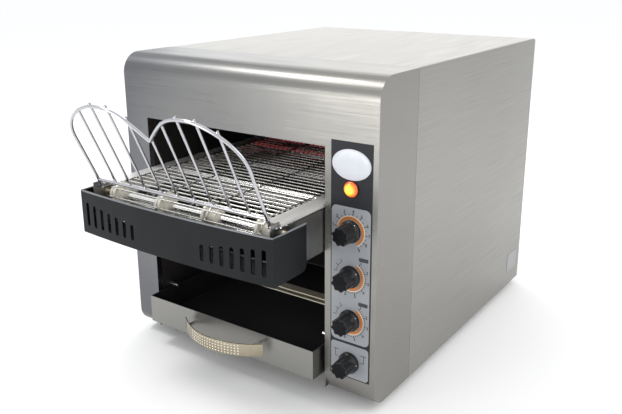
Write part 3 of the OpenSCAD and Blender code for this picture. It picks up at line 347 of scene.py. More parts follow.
def lamp_glow(name, centre, core, rim, radius, strength):
    finish = plain_finish(name, rim, 0.18, Coat_Weight=0.5)
    tree = finish.node_tree
    place = tree.nodes.new("ShaderNodeTexCoord")
    mapping = tree.nodes.new("ShaderNodeMapping")
    mapping.vector_type = "TEXTURE"
    mapping.inputs["Location"].default_value = centre
    mapping.inputs["Scale"].default_value = (radius, 1000.0, radius)
    gradient = tree.nodes.new("ShaderNodeTexGradient")
    gradient.gradient_type = "SPHERICAL"
    tree.links.new(place.outputs["Object"], mapping.inputs["Vector"])
    tree.links.new(mapping.outputs["Vector"], gradient.inputs["Vector"])
    glow(finish, vary_color(finish, gradient.outputs["Fac"], rim, core), strength)
    return finish


lit_quartz = banded_glow("lit_quartz", (0.16, 0.02, 0.03), (0.62, 0.10, 0.10), 0.45, 42.0)
cold_quartz = worked_finish("cold_quartz", (0.36, 0.30, 0.26), 0.25, 0.0, 40, 300, shade=0.15)
lens_low, lens_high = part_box("lamp_lens")
lit_amber = lamp_glow("lit_amber_lens", (lens_low + lens_high) / 2, (1.0, 0.72, 0.06),
                      (0.90, 0.10, 0.004), 0.0105, 0.62)
dress(lit_quartz, "bottom_heaters")
dress(cold_quartz, "top_heaters")
dress(lit_amber, "lamp_lens")

# %% [markdown]
# ### Drawer and printed sheets
# The drawer is steel outside and black with baked crumbs inside. A box that is a little smaller than the
# drawer says which points are inside: where a point lies in it along all three directions, the black
# shows. The label is a printed plastic sheet, the badge is glossy, and the rating plate is bare foil.

# %% Drawer and print finishes
def two_sided_tray(name, outside, inside, low, high, wall):
    finish = worked_finish(name, outside, 0.35, 1.0, 6, 9, ACROSS, depth=0.00002, shade=0.06,
                           strength=0.12)
    tree = finish.node_tree
    shader = tree.nodes["Principled BSDF"]
    steel = shader.inputs["Base Color"].links[0].from_socket
    rough = shader.inputs["Roughness"].links[0].from_socket
    place = object_place(finish)
    inner_low = low + Vector((wall, wall, wall))
    inner_high = high - Vector((wall, wall, -wall))
    tests = [math_node(finish, "GREATER_THAN", place[axis], edge) for axis, edge in zip("XYZ", inner_low)]
    tests += [math_node(finish, "LESS_THAN", place[axis], edge) for axis, edge in zip("XYZ", inner_high)]
    mask = tests[0]
    for test in tests[1:]:
        mask = math_node(finish, "MULTIPLY", mask, test)
    color = tree.nodes.new("ShaderNodeMix")
    color.data_type = "RGBA"
    color.inputs["B"].default_value = (*inside, 1.0)
    tree.links.new(mask, color.inputs["Factor"])
    tree.links.new(steel, color.inputs["A"])
    tree.links.new(color.outputs["Result"], shader.inputs["Base Color"])
    tree.links.new(math_node(finish, "SUBTRACT", 1.0, mask), shader.inputs["Metallic"])
    tree.links.new(math_node(finish, "MAXIMUM", mask, rough), shader.inputs["Roughness"])
    return finish


DRAWER_WALL = 1.2 * MM
drawer_low, drawer_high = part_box("drawer_pan")
drawer_steel = two_sided_tray("drawer_steel", (0.265, 0.262, 0.25), (0.006, 0.006, 0.008), drawer_low,
                              drawer_high, DRAWER_WALL * 0.5)
label_charcoal = worked_finish("label_charcoal", (0.015, 0.016, 0.020), 0.42, 0.0, 30, 600, shade=0.08,
                               Specular_IOR_Level=0.25)
badge_gloss = worked_finish("badge_gloss", (0.60, 0.62, 0.67), 0.12, 0.0, 40, 300, shade=0.03,
                            depth=0.00001)
plate_foil = worked_finish("rating_foil", (0.33, 0.33, 0.335), 0.5, 0.2, 90, 300, shade=0.06)
dress(drawer_steel, "drawer_pan")
dress(label_charcoal, "control_label")
dress(plate_foil, "rating_plate")

# %% [markdown]
# ## Tools for new pieces
# Each piece is started from a primitive and shaped in edit mode. An operator acts on all that is selected,
# so everything is deselected first. A settled piece has its place and size in its mesh.

# %% Selecting and settling
def deselect():
    if bpy.context.object is not None and bpy.context.object.mode != "OBJECT":
        bpy.ops.object.mode_set(mode="OBJECT")
    bpy.ops.object.select_all(action="DESELECT")


def select_only(*pieces):
    deselect()
    for piece in pieces:
        piece.select_set(True)
    bpy.context.view_layer.objects.active = pieces[0]


def settle(piece):
    select_only(piece)
    bpy.ops.object.transform_apply(location=True, rotation=True, scale=True)

# %% [markdown]
# A piece is opened with all of it selected, or with only some points or faces. Closing it turns its
# normals outwards. A small bevel takes the sharpness from an edge.

# %% Opening, choosing and closing
def open_up():
    bpy.ops.object.mode_set(mode="EDIT")
    bpy.ops.mesh.select_all(action="SELECT")


def close_up():
    """Turns the normals of the piece that is being edited outwards, and leaves edit mode."""
    bpy.ops.mesh.select_all(action="SELECT")
    bpy.ops.mesh.normals_make_consistent(inside=False)
    bpy.ops.object.mode_set(mode="OBJECT")


def choose(piece, kind, wanted):
    """Opens a piece for editing with only the points or faces for which wanted(...) holds selected."""
    select_only(piece)
    bpy.ops.object.mode_set(mode="EDIT")
    bpy.ops.mesh.select_mode(type=kind)
    bpy.ops.mesh.select_all(action="DESELECT")
    bpy.ops.object.mode_set(mode="OBJECT")
    for part in piece.data.polygons if kind == "FACE" else piece.data.vertices:
        part.select = wanted(part)
    bpy.ops.object.mode_set(mode="EDIT")


def soften(piece, width):
    select_only(piece)
    bevel = piece.modifiers.new("soft_edges", "BEVEL")
    bevel.width = width
    bevel.segments = 2
    bevel.limit_method = "ANGLE"
    bevel.angle_limit = math.radians(30)
    bpy.ops.object.modifier_apply(modifier=bevel.name)

# %% [markdown]
# A finished piece puts its place into its mesh, is shaded smooth where its edges are gentle, and rides on
# the body that carries it. What repeats is modelled once and copied, each copy with its own mesh.

# %% Joining, copying and handing over
SMOOTH_ANGLE = math.radians(48)


def joined(name, pieces):
    select_only(*pieces)
    bpy.ops.object.join()
    piece = bpy.context.object
    piece.name = name
    return piece


def hand_over(piece, name, finish, body, slot, *replaced):
    """Names a finished piece, gives it its finish, and lets it ride on its body."""
    settle(piece)
    piece.name = name
    if finish is not None:
        piece.data.materials.clear()
        piece.data.materials.append(finish)
    bpy.ops.object.shade_smooth_by_angle(angle=SMOOTH_ANGLE)
    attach(piece, body)
    if replaced:
        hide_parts(*replaced)
    print(name, "faces:", len(piece.data.polygons))
    return piece


def copy_of(piece, matrix):
    select_only(piece)
    bpy.ops.object.duplicate()
    twin = bpy.context.object
    twin.data.transform(matrix)
    return twin

# %% [markdown]
# Wires and rods follow a path curve, which is given a thickness and then made a mesh. Their bends are
# drawn with the same four-point curve that a drawing program uses.

# %% Wires
def wire(points, radius, rings=2):
    deselect()
    bpy.ops.curve.primitive_nurbs_path_add()
    path = bpy.context.object
    path.data.splines.clear()
    spline = path.data.splines.new("POLY")
    spline.points.add(len(points) - 1)
    for point, place in zip(spline.points, points):
        point.co = (*place, 1.0)
    path.data.bevel_depth = radius
    path.data.bevel_resolution = rings
    path.data.use_fill_caps = True
    bpy.ops.object.convert(target="MESH")
    return bpy.context.object


def bezier(a, b, c, d, count):
    return [a * (1 - t) ** 3 + b * 3 * t * (1 - t) ** 2 + c * 3 * t * t * (1 - t) + d * t ** 3
            for t in (i / count for i in range(count + 1))]

# %% [markdown]
# ## The wire belt
# The belt is woven from cross wires. Each wire hooks onto the next one in four rows. One strand is made
# once: a straight rod, and four hooks that go under the next rod, round it and back. It is then copied
# along the upper run, round the rollers, and back along the lower run, each time turned to follow the way.

# %% One strand of the belt
BELT_PITCH = 10.5 * MM
WIRE = 1.0 * MM
HOOK_WIRE = 0.7 * MM
HOOK_ROWS = [-110 * MM, -110 / 3 * MM, 110 / 3 * MM, 110 * MM]
BELT_MIDDLE = CONVEYOR_X * MM
STRAND_HALF = 113.2 * MM

hook_shape = [(-1.9, 0.0, 0.2), (-1.9, 3.5, -0.7), (-1.9, 9.0, -1.35), (-1.8, 11.2, -1.3),
              (-1.2, 12.3, -0.5), (0.0, 12.6, 0.3), (1.2, 12.3, 0.9), (1.8, 11.0, 1.35),
              (1.9, 9.0, 1.35), (1.9, 3.5, 0.9), (1.9, 0.0, 0.2)]


def belt_strand():
    parts = [wire([(-STRAND_HALF, 0, 0), (STRAND_HALF, 0, 0)], WIRE)]
    for row in HOOK_ROWS:
        hook = [(row + x * MM, y * MM, z * MM) for x, y, z in hook_shape]
        parts.append(wire(hook, HOOK_WIRE, rings=1))
    return joined("belt_strand", parts)


strand = belt_strand()
print("strand faces:", len(strand.data.polygons))

# %% [markdown]
# The belt goes over eight-sided rollers, one wire in each of their notches. Along the runs the strands lie
# a pitch apart. Round a roller each strand is an eighth of a turn on from the last.

# %% The belt's way over both rollers
ROLLER_TEETH = 8
ROLLER_RADIUS = BELT_PITCH / (2 * math.sin(math.pi / ROLLER_TEETH))
RUN_WIRES = 35
front_axle = at(0, -70, 213.781)
rear_axle = at(0, 308, 213.781)


def strand_at(axle, angle, lean):
    """A strand at an angle round an axle, from the top towards the rear, leaning with the belt."""
    spot = Vector((BELT_MIDDLE, axle.y + ROLLER_RADIUS * math.sin(angle),
                   axle.z + ROLLER_RADIUS * math.cos(angle)))
    return copy_of(strand, Matrix.Translation(spot) @ Matrix.Rotation(-lean, 4, "X"))


def run_strands(angle):
    steps = [front_axle + Vector((0, BELT_PITCH * k, 0)) for k in range(1, RUN_WIRES + 1)]
    return [strand_at(spot, angle, angle) for spot in steps]


def turn_strands(axle, start):
    eighth = 2 * math.pi / ROLLER_TEETH
    turns = [strand_at(axle, start + k * eighth, start + (k + 0.5) * eighth) for k in range(4)]
    return turns + [strand_at(axle, start + math.pi, start + math.pi)]


print("roller radius", round(ROLLER_RADIUS / MM, 2), "mm, wires in a run:", RUN_WIRES)

# %% [markdown]
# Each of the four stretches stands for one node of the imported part. The wires' tone falls off towards the
# rear, where the photograph shows them in the oven's shade.

# %% Four stretches of belt
belt_wire = worked_finish("belt_wire_steel", (0.66, 0.65, 0.62), 0.24, 1.0, 14, 200, shade=0.28,
                          depth=0.00002)
painted_light_drift(belt_wire, "Y", front_axle.y, rear_axle.y, (0.76, 0.75, 0.72), (0.13, 0.125, 0.12))
belt_parts = {"belt_top_run": run_strands(0.0), "belt_rear_turn": turn_strands(rear_axle, 0.0),
              "belt_bottom_run": run_strands(math.pi),
              "belt_front_turn": turn_strands(front_axle, math.pi)}
for node, strands in belt_parts.items():
    woven = joined("woven_" + node, strands)
    hand_over(woven, "woven_" + node, belt_wire, "cabinet", "belt_steel", node)
bpy.data.objects.remove(strand)

# %% [markdown]
# ## The loading rack
# Two humps of bent rod stand on a foot rod and lean out over the guard, with straight wires behind them.
# The outline is drawn as curves in the rack's own plane, where x runs across and u up the lean, and then
# laid into the frame. Small lumps of weld sit where each wire meets the rods.

# %% Rack outline
RACK_LEAN = math.radians(25)
RACK_ROD = 1.85 * MM
RACK_WIRE = 1.4 * MM
RACK_HALF = 126.0
FOOT_HALF = RACK_HALF - 1.5
HUMP = RACK_HALF * 0.52
HUMP_TOP = 109.5
DIP = 78.0
SIDE_TOP = HUMP_TOP - 49
FOOT_OUT = 3.5
FOOT_RISE = 9.5
PIVOT_Y = -85.0
PIVOT_Z = 224.2


def rack_place(x, u, behind=0.0):
    return at(CONVEYOR_X + x, PIVOT_Y - FOOT_OUT - u * math.sin(RACK_LEAN) + behind * math.cos(RACK_LEAN),
              PIVOT_Z + FOOT_RISE + u * math.cos(RACK_LEAN) + behind * math.sin(RACK_LEAN))


outer = bezier(Vector((RACK_HALF, SIDE_TOP)), Vector((RACK_HALF, SIDE_TOP + 32)),
               Vector((HUMP + 16, HUMP_TOP)), Vector((HUMP, HUMP_TOP)), 22)
inner = bezier(Vector((HUMP, HUMP_TOP)), Vector((HUMP - 32, HUMP_TOP)),
               Vector((HUMP * 0.4, HUMP_TOP - 10)), Vector((3, DIP)), 18)
tip = bezier(Vector((3, DIP)), Vector((1.6, DIP - 2.2)), Vector((0.6, DIP - 2.8)),
             Vector((0, DIP - 2.8)), 5)
half = [Vector((FOOT_HALF, 0))] + outer + inner[1:] + tip[1:]
outline = half + [Vector((-p.x, p.y)) for p in reversed(half[:-1])]


def height_over(x):
    """How high the outline is over a place across the rack."""
    side = sorted((p.x, p.y) for p in half)
    for (x0, u0), (x1, u1) in zip(side, side[1:]):
        if x0 <= abs(x) <= x1:
            return u0 + (u1 - u0) * (abs(x) - x0) / max(x1 - x0, 1e-6)
    return DIP


print("rack outline:", len(outline), "points, top at", HUMP_TOP, "mm, dip at", DIP, "mm")

# %% [markdown]
# Each hump's rod goes down to the foot rod, bends in, and ends in a leg with a pin that sits in the side
# plate.

# %% Legs and pins
legs = []
for side in (1, -1):
    low_end = at(CONVEYOR_X + side * FOOT_HALF, PIVOT_Y, PIVOT_Z)
    bend = low_end + Vector((0, 0, 4 * MM))
    leg = bezier(rack_place(side * FOOT_HALF, 0.5), rack_place(side * FOOT_HALF, -5), bend, low_end, 8)
    pin = low_end + Vector((side * 10 * MM, 0, 0))
    legs.append(wire(leg, RACK_ROD, rings=3))
    legs.append(wire([low_end - Vector((side * 1.5 * MM, 0, 0)), pin], RACK_ROD, rings=3))
print("rack legs:", len(legs), "pieces")

# %% [markdown]
# Straight wires stand behind the rods, with a bead of weld at each end. The whole rack is one welded
# piece, so it rides on the rack's body and tilts about its pins.

# %% Rods, wires and welds
WIRE_COUNT = 9
WIRE_STEP = 256 / (WIRE_COUNT + 1.3)
WIRE_BEHIND = 2.0 + 1.4 - 0.2
WELD_SIZE = 2.3 * MM


def weld_at(place):
    deselect()
    bpy.ops.mesh.primitive_uv_sphere_add(segments=10, ring_count=6, radius=WELD_SIZE, location=place)
    bead = bpy.context.object
    bead.scale = (1.25, 0.8, 0.75)
    settle(bead)
    return bead


rods = [wire([rack_place(p.x, p.y) for p in outline], RACK_ROD, rings=3),
        wire([rack_place(-FOOT_HALF, 0), rack_place(FOOT_HALF, 0)], RACK_ROD * 0.9, rings=3)]
welds = []
for index in range(WIRE_COUNT):
    x = (index - (WIRE_COUNT - 1) / 2) * WIRE_STEP
    top = height_over(x)
    rods.append(wire([rack_place(x, -2, WIRE_BEHIND), rack_place(x, top + 2, WIRE_BEHIND)], RACK_WIRE))
    welds += [weld_at(rack_place(x, u, WIRE_BEHIND * 0.55)) for u in (0, top)]
rack = joined("bent_rack", rods + legs + welds)
hand_over(rack, "bent_rack", rack_chrome, "rack", "rack_chrome", "load_rack")

# %% [markdown]
# ## The knobs
# A knob is one black moulding: a round skirt, a shoulder that draws in, and a grip with eight lobes. The
# body is a cylinder whose front face is inset and pulled forward again and again. Its sides are glossy,
# while its flat end gets a matt, darker copy of the finish that paints shade on it.

# %% Knob body
KNOB_RADIUS = 12.3 * MM
SKIRT = 3.2 * MM
SHOULDER = ((0.5, 0.5), (0.7, 1.0), (0.5, 1.3), (0.3, 1.4))
GRIP = (1.2, 2.4, 3.4, 3.4, 3.4)
END_ROUND = (0.5, 0.35)
KNOB_SIDES = 96
knob_black = worked_finish("knob_phenolic", (0.006, 0.0065, 0.0075), 0.36, 0.0, 60, 100, shade=0.2,
                           depth=0.00001, strength=0.02, Specular_IOR_Level=0.42)
# The end's finish is a darker, duller copy of the knob's: painted shade.
knob_painted_shade = worked_finish("knob_matt_end", (0.005, 0.0055, 0.0065), 0.6, 0.0, 60, 300, shade=0.2,
                          depth=0.00001, strength=0.05, Specular_IOR_Level=0.12)
pointer_white = worked_finish("pointer_white", (0.85, 0.85, 0.85), 0.4, 0.0, 60, 500, shade=0.03)


def disc(radius, depth, place, sides=64):
    deselect()
    bpy.ops.mesh.primitive_cylinder_add(vertices=sides, radius=radius, depth=depth, location=place)
    piece = bpy.context.object
    settle(piece)
    return piece


def knob_body():
    """A knob without flutes that stands on z = 0, and the heights of its grip's rings."""
    body = disc(KNOB_RADIUS, SKIRT, (0, 0, SKIRT / 2), KNOB_SIDES)
    choose(body, "FACE", lambda face: face.normal.z > 0.9)
    for inset, lift in SHOULDER:
        bpy.ops.mesh.inset(thickness=inset * MM)
        bpy.ops.transform.translate(value=(0, 0, lift * MM))
    rings = [SKIRT + sum(lift for inset, lift in SHOULDER) * MM]
    for lift in GRIP:
        bpy.ops.mesh.extrude_region_move(TRANSFORM_OT_translate={"value": (0, 0, lift * MM)})
        rings.append(rings[-1] + lift * MM)
    bpy.ops.object.mode_set(mode="OBJECT")
    return body, rings


knob, grip_rings = knob_body()
print("knob body faces:", len(knob.data.polygons), "end at", round(grip_rings[-1] / MM, 1), "mm")

# %% [markdown]
# The grip's rings are drawn in between the lobes. On each ring the points that lie equally far from the
# middle of a flute move together, deepest in the middle, and the flutes grow deeper towards the end.
# There the edge is rounded by one more inset.

# %% Flutes
LOBES = 8
FLUTE_POINTS = KNOB_SIDES // LOBES
FLUTE_DEPTHS = (0.055, 0.10, 0.125, 0.145, 0.16)
RING_SLACK = 0.1 * MM


def flute_step(point):
    """How many points away from the middle of its flute a point of the knob lies."""
    index = round(math.atan2(point.co.y, point.co.x) / (2 * math.pi) * KNOB_SIDES) % FLUTE_POINTS
    return min(index, FLUTE_POINTS - index)


for level, depth in zip(grip_rings[1:], FLUTE_DEPTHS):
    for step in range(FLUTE_POINTS // 2):
        choose(knob, "VERT",
               lambda point: abs(point.co.z - level) < RING_SLACK and flute_step(point) == step)
        inward = 1 - depth * (1 + math.cos(2 * math.pi * step / FLUTE_POINTS)) / 2
        bpy.ops.transform.resize(value=(inward, inward, 1))
        bpy.ops.object.mode_set(mode="OBJECT")
choose(knob, "FACE", lambda face: face.normal.z > 0.9 and face.center.z > grip_rings[-1] - RING_SLACK)
bpy.ops.mesh.inset(thickness=END_ROUND[0] * MM)
bpy.ops.transform.translate(value=(0, 0, END_ROUND[1] * MM))
bpy.ops.object.mode_set(mode="OBJECT")
print("knob faces:", len(knob.data.polygons))

# %% [markdown]
# The flat end gets the darker, matt finish that paints shade on it. A white dot on the shoulder shows where
# the knob points.

# %% Painted shade on the end, and pointer
knob.data.materials.append(knob_black)
knob.data.materials.append(knob_painted_shade)
choose(knob, "FACE", lambda face: face.normal.z > 0.99 and face.center.z > grip_rings[-1] + RING_SLACK)
knob.active_material_index = 1
bpy.ops.object.material_slot_assign()
bpy.ops.object.mode_set(mode="OBJECT")
dot = disc(0.9 * MM, 0.9 * MM, (0, KNOB_RADIUS - 1.3 * MM, SKIRT + 0.5 * MM), 20)
soften(dot, 0.2 * MM)
dot.data.materials.append(pointer_white)
template = joined("knob", [knob, dot])
print("knob template:", len(template.data.polygons), "faces,", len(template.data.materials), "finishes")

# %% [markdown]
# The four knobs are copies of that one. Each stands on the label at its own height, points where the
# photograph shows its dot, and rides on its own dial, so it turns with the joint.

# %% Four knobs
CONTROL_X = 152.25
KNOB_BASE = -1.0
KNOB_Z = [48.5 + 51.5 * k for k in range(4)]
knob_rows = [("power", KNOB_Z[0], 84), ("bottom_heat", KNOB_Z[1], 55), ("top_heat", KNOB_Z[2], 56),
             ("speed", KNOB_Z[3], 38)]
for name, z, clock in knob_rows:
    spot = Matrix.Translation(at(CONTROL_X, KNOB_BASE, z))
    facing = Matrix.Rotation(math.radians(90), 4, "X")
    pointing = Matrix.Rotation(-math.radians(clock), 4, "Z")
    turned = copy_of(template, spot @ facing @ pointing)
    hand_over(turned, "fluted_" + name + "_knob", None, name + "_dial", "knob_black", name + "_knob")
bpy.data.objects.remove(template)

# %% [markdown]
# ## The printed label
# The charcoal sheet carries two light panels with rounded corners. Round each knob there is an orange
# band, with ticks and plain numbers. Each print is a very thin solid on the sheet, so it stays crisp from
# close by. A band is one small edge that is spun about the knob's axis.

# %% Panels
PRINT = 0.12 * MM
LABEL_FACE = -0.5
panel_grey = worked_finish("panel_grey", (0.26, 0.272, 0.29), 0.40, 0.0, 20, 500, shade=0.04,
                           depth=0.00001)


def thin_panel(x, z, corner, lift=1.0):
    """A flat plate that faces the front, with rounded corners."""
    first, last = at(x[0], LABEL_FACE, z[0]), at(x[1], LABEL_FACE, z[1])
    deselect()
    bpy.ops.mesh.primitive_plane_add(size=1, location=(first + last) / 2,
                                     rotation=(math.radians(90), 0, 0))
    plate = bpy.context.object
    plate.scale = (last.x - first.x, last.z - first.z, 1)
    settle(plate)
    open_up()
    if corner > 0:
        bpy.ops.mesh.bevel(offset=corner * MM, segments=6, affect="VERTICES")
        bpy.ops.mesh.select_all(action="SELECT")
    bpy.ops.mesh.extrude_region_move(TRANSFORM_OT_translate={"value": (0, -PRINT * lift, 0)})
    close_up()
    return plate


PANEL_X = (128.1, 176.3)
panels = [thin_panel(PANEL_X, (73.2, 229.5), 6), thin_panel(PANEL_X, (30.2, 70.2), 4)]
hand_over(joined("label_panels", panels), "label_panels", panel_grey, "cabinet", "label_print")

# %% [markdown]
# A band is a small upright rectangle, the band's cross-section, that is spun about the knob's axis. Two
# bands lie round each of the three upper knobs: the broad orange one, and a thin cream line outside it.

# %% Bands
band_orange = worked_finish("band_orange", (0.46, 0.155, 0.03), 0.42, 0.0, 80, 500, shade=0.12,
                            depth=0.00001)
cream_line = worked_finish("cream_line", (0.62, 0.58, 0.50), 0.42, 0.0, 80, 500, shade=0.08,
                           depth=0.00001)


def clock_place(z, clock, radius):
    angle = math.radians(clock)
    return at(CONTROL_X + radius * math.sin(angle), LABEL_FACE, z + radius * math.cos(angle))


def spun_band(z, start, stop, inner_radius, outer_radius):
    """A flat ring sector round a knob, from one clock angle to another."""
    deselect()
    spot = clock_place(z, start, (inner_radius + outer_radius) / 2) - Vector((0, PRINT * 1.5, 0))
    bpy.ops.mesh.primitive_plane_add(size=1, location=spot, rotation=(0, math.radians(start - 90), 0))
    band = bpy.context.object
    band.scale = ((outer_radius - inner_radius) * MM, PRINT, 1)
    settle(band)
    open_up()
    bpy.ops.mesh.spin(steps=48, angle=math.radians(stop - start), center=at(CONTROL_X, LABEL_FACE, z),
                      axis=(0, -1, 0))
    close_up()
    return band


SPEED_SWEEP = (-80, 152)
HEAT_SWEEP = (30, 200)
BAND_INSIDE = 13.2
BAND_OUTSIDE = 16.6
LINE_OUTSIDE = 17.4
dials = [(KNOB_Z[3], SPEED_SWEEP), (KNOB_Z[2], HEAT_SWEEP), (KNOB_Z[1], HEAT_SWEEP)]
bands = [spun_band(z, *sweep, BAND_INSIDE, BAND_OUTSIDE) for z, sweep in dials]
hand_over(joined("orange_bands", bands), "orange_bands", band_orange, "cabinet", "label_print")
lines = [spun_band(z, *sweep, BAND_OUTSIDE, LINE_OUTSIDE) for z, sweep in dials]
hand_over(joined("cream_lines", lines), "cream_lines", cream_line, "cabinet", "label_print")

# %% [markdown]
# Short and long ticks stand outside the bands, and every long one has a plain number. A tick is a small
# box that is turned to lie along the radius. A number is a text with a thickness, made a mesh.

# %% Ticks and numbers
ink_dark = worked_finish("ink_dark", (0.025, 0.027, 0.032), 0.45, 0.0, 60, 500, shade=0.1,
                         depth=0.00001)
LONG_TICK = (19.2, (1.0, 2.4))
SHORT_TICK = (18.8, (0.8, 1.5))
NUMBER_RADIUS = 22.4
NUMBER_SIZE = 3.7 * 1.35


def mark(z, clock, radius, size):
    """A tick that lies along the radius; size is its width and its length."""
    deselect()
    spot = clock_place(z, clock, radius) - Vector((0, PRINT * 1.5, 0))
    bpy.ops.mesh.primitive_cube_add(size=1, location=spot, rotation=(0, math.radians(clock), 0))
    tick = bpy.context.object
    tick.scale = (size[0] * MM, PRINT, size[1] * MM)
    settle(tick)
    return tick


def number(text, z, clock):
    deselect()
    bpy.ops.object.text_add(location=clock_place(z, clock, NUMBER_RADIUS) - Vector((0, PRINT, 0)),
                            rotation=(math.radians(90), 0, 0))
    letters = bpy.context.object.data
    letters.body = text
    letters.size = NUMBER_SIZE * MM
    letters.align_x = "CENTER"
    letters.align_y = "CENTER"
    letters.extrude = PRINT / 2
    letters.offset = 0.13 * MM
    letters.resolution_u = 3
    bpy.ops.object.convert(target="MESH")
    digit = bpy.context.object
    settle(digit)
    return digit

# %% [markdown]
# A dial is a row of ticks at even steps. The speed dial reaches most of the way round its knob.

# %% The speed dial
def scale_marks(z, start, step, count, per_number):
    """Ticks at even steps from a clock angle, with a number at every per_number-th."""
    marks = []
    for k in range(count):
        clock = start + k * step
        if k % per_number:
            marks.append(mark(z, clock, *SHORT_TICK))
        else:
            marks += [mark(z, clock, *LONG_TICK), number(str(k // per_number + 1), z, clock)]
    return marks


inks = scale_marks(KNOB_Z[3], SPEED_SWEEP[0], 14.5, 17, 2)
print("speed dial:", len(inks), "marks")

# %% [markdown]
# Left of each heat knob a thin curve with three twigs marks the other way round, and a dark tab stands at
# the upper right. The lowest knob has a bent line on each side. Words are left out.

# %% Curves, tabs and bent lines
LINE = 0.6


def strokes(rows):
    return [thin_panel(sorted(x), z, 0, 2.0) for x, z in rows]


for z in (KNOB_Z[1], KNOB_Z[2]):
    inks += scale_marks(z, 36, 8.0, 21, 4)
    inks.append(spun_band(z, -82, -34, 18.0, 18.5))
    inks += [mark(z, clock, 20.0, (LINE, 3.4)) for clock in (-80, -58, -36)]
    inks.append(thin_panel((CONTROL_X + 10.5, CONTROL_X + 22), (z + 20, z + 24.2), 0.7, 2.0))
power_z = KNOB_Z[0]
for side in (-1, 1):
    near, foot, inner, outer, far = [CONTROL_X + side * x for x in (14.0, 14.6, 18.0, 18.6, 21)]
    inks += strokes([((near, far), (power_z + 12.0, power_z + 12.7)),
                     ((inner, outer), (power_z + 3.4, power_z + 12.7)),
                     ((foot, outer), (power_z + 3.4, power_z + 3.4 + LINE))])
hand_over(joined("dial_marks", inks), "dial_marks", ink_dark, "cabinet", "label_print")

# %% [markdown]
# ## The badge
# The badge is a domed oval of glossy white resin, left bare. A cylinder is flattened to an oval, its
# front face is inset a few times, and each ring is pulled out a little less than the last.

# %% Domed badge
BADGE_W = 47.0
BADGE_H = 33.0
BADGE_Z = 275.5
BADGE_RINGS = ((0.5, 0.35), (1.6, 0.30), (3.5, 0.22), (5.0, 0.10))
badge = disc(0.5, 1.0, (0, 0, 0.5), 96)
badge.scale = (BADGE_W * MM, BADGE_H * MM, 0.6 * MM)
badge.rotation_euler = (math.radians(90), 0, 0)
badge.location = at(CONTROL_X, LABEL_FACE, BADGE_Z)
settle(badge)
choose(badge, "FACE", lambda face: face.normal.y < -0.9)
for inset, pull in BADGE_RINGS:
    bpy.ops.mesh.inset(thickness=inset * MM)
    bpy.ops.transform.translate(value=(0, -pull * MM, 0))
bpy.ops.object.mode_set(mode="OBJECT")
hand_over(badge, "domed_badge", badge_gloss, "cabinet", "badge_white", "badge_plate")

# %% [markdown]
# ## The guard's hem
# The top edge of the guard is folded over, and the fold catches the light as a pale line. A thin rod that
# follows the guard's outline, the two wings and the bowed front, gives that line in a lighter paint, a
# painted highlight. The rear edge of the guard's floor is folded and painted the same way.

# %% Hem
GUARD_HALF = 142.0
GUARD_OUT = 102.0
GUARD_BOW = 6.0
GUARD_WING_END = 55.0 - GUARD_OUT
GUARD_TOP = 221.0
GUARD_SHEET = 1.5
GUARD_FLOOR_END = 43.0 - GUARD_OUT
GUARD_FLOOR_TOP = 171.0
FLOOR_HALF = GUARD_HALF - 13.0
HEM = 1.1
guard_radius = (GUARD_HALF ** 2 + GUARD_BOW ** 2) / (2 * GUARD_BOW)
bow_radius = guard_radius - GUARD_SHEET / 2
# The hem's paint is lighter than the guard's: a painted highlight.
hem_painted_highlight = worked_finish("hem_painted_highlight", (0.16, 0.165, 0.18), 0.32, 0.2, 30, 500, shade=0.15,
                          depth=0.00002)
side_x = GUARD_HALF - GUARD_SHEET / 2
BOW_STEPS = 32
bow = []
for k in range(BOW_STEPS + 1):
    swing = math.asin(side_x / guard_radius) * (2 * k / BOW_STEPS - 1)
    bow.append((bow_radius * math.sin(swing),
                guard_radius - GUARD_OUT - GUARD_BOW - bow_radius * math.cos(swing)))
top_line = [(-side_x, GUARD_WING_END)] + bow + [(side_x, GUARD_WING_END)]
floor_line = [(-FLOOR_HALF, GUARD_FLOOR_END), (FLOOR_HALF, GUARD_FLOOR_END)]


def guard_fold(line, z):
    return wire([at(CONVEYOR_X + x, y, z) for x, y in line], HEM * MM)


hem = joined("guard_hem", [guard_fold(top_line, GUARD_TOP - HEM * 0.35),
                           guard_fold(floor_line, GUARD_FLOOR_TOP + HEM * 0.8)])
hand_over(hem, "guard_hem", hem_painted_highlight, "cabinet", "guard_paint")

# %% [markdown]
# ## The drawer's handle
# The handle is a strip of warm nickel steel, bowed out from the drawer. A small upright rectangle, the
# strip's cross-section with its corners rounded, is spun about an upright axis inside the drawer. The arc
# goes through the strip's middle and through the two posts that carry it.

# %% Bowed strap
HANDLE_X = -11.0
HANDLE_Z = 42.8
HANDLE_HALF = 60.5
HANDLE_H = 16.0
HANDLE_BOW = 21.5
HANDLE_GAP = 9.0
HANDLE_T = 1.5
DRAWER_FACE = -18.0
POST_X = 48.5
post_drop = HANDLE_BOW * (POST_X / HANDLE_HALF) ** 2
strap_radius = (POST_X ** 2 + post_drop ** 2) / (2 * post_drop)
strap_swing = math.asin(HANDLE_HALF / strap_radius)
strap_axis_y = DRAWER_FACE - HANDLE_GAP - HANDLE_BOW + strap_radius
handle_nickel = worked_finish("warm_nickel", (0.34, 0.30, 0.225), 0.25, 1.0, 18, 9, (1.0, 60.0, 60.0),
                              depth=0.00002, shade=0.12, strength=0.06)
# The dots' light colour is a painted highlight.
dots_painted_highlight = worked_finish("nickel_dots_painted_highlight", (0.80, 0.75, 0.64), 0.22, 1.0, 60, 300, shade=0.06,
                           depth=0.00001)


def on_strap(swing, z, out):
    """A place on the strap, at a swing from its middle, over its centre line, and out of its back."""
    reach = strap_radius + out
    return at(HANDLE_X + reach * math.sin(swing), strap_axis_y - reach * math.cos(swing), HANDLE_Z + z)


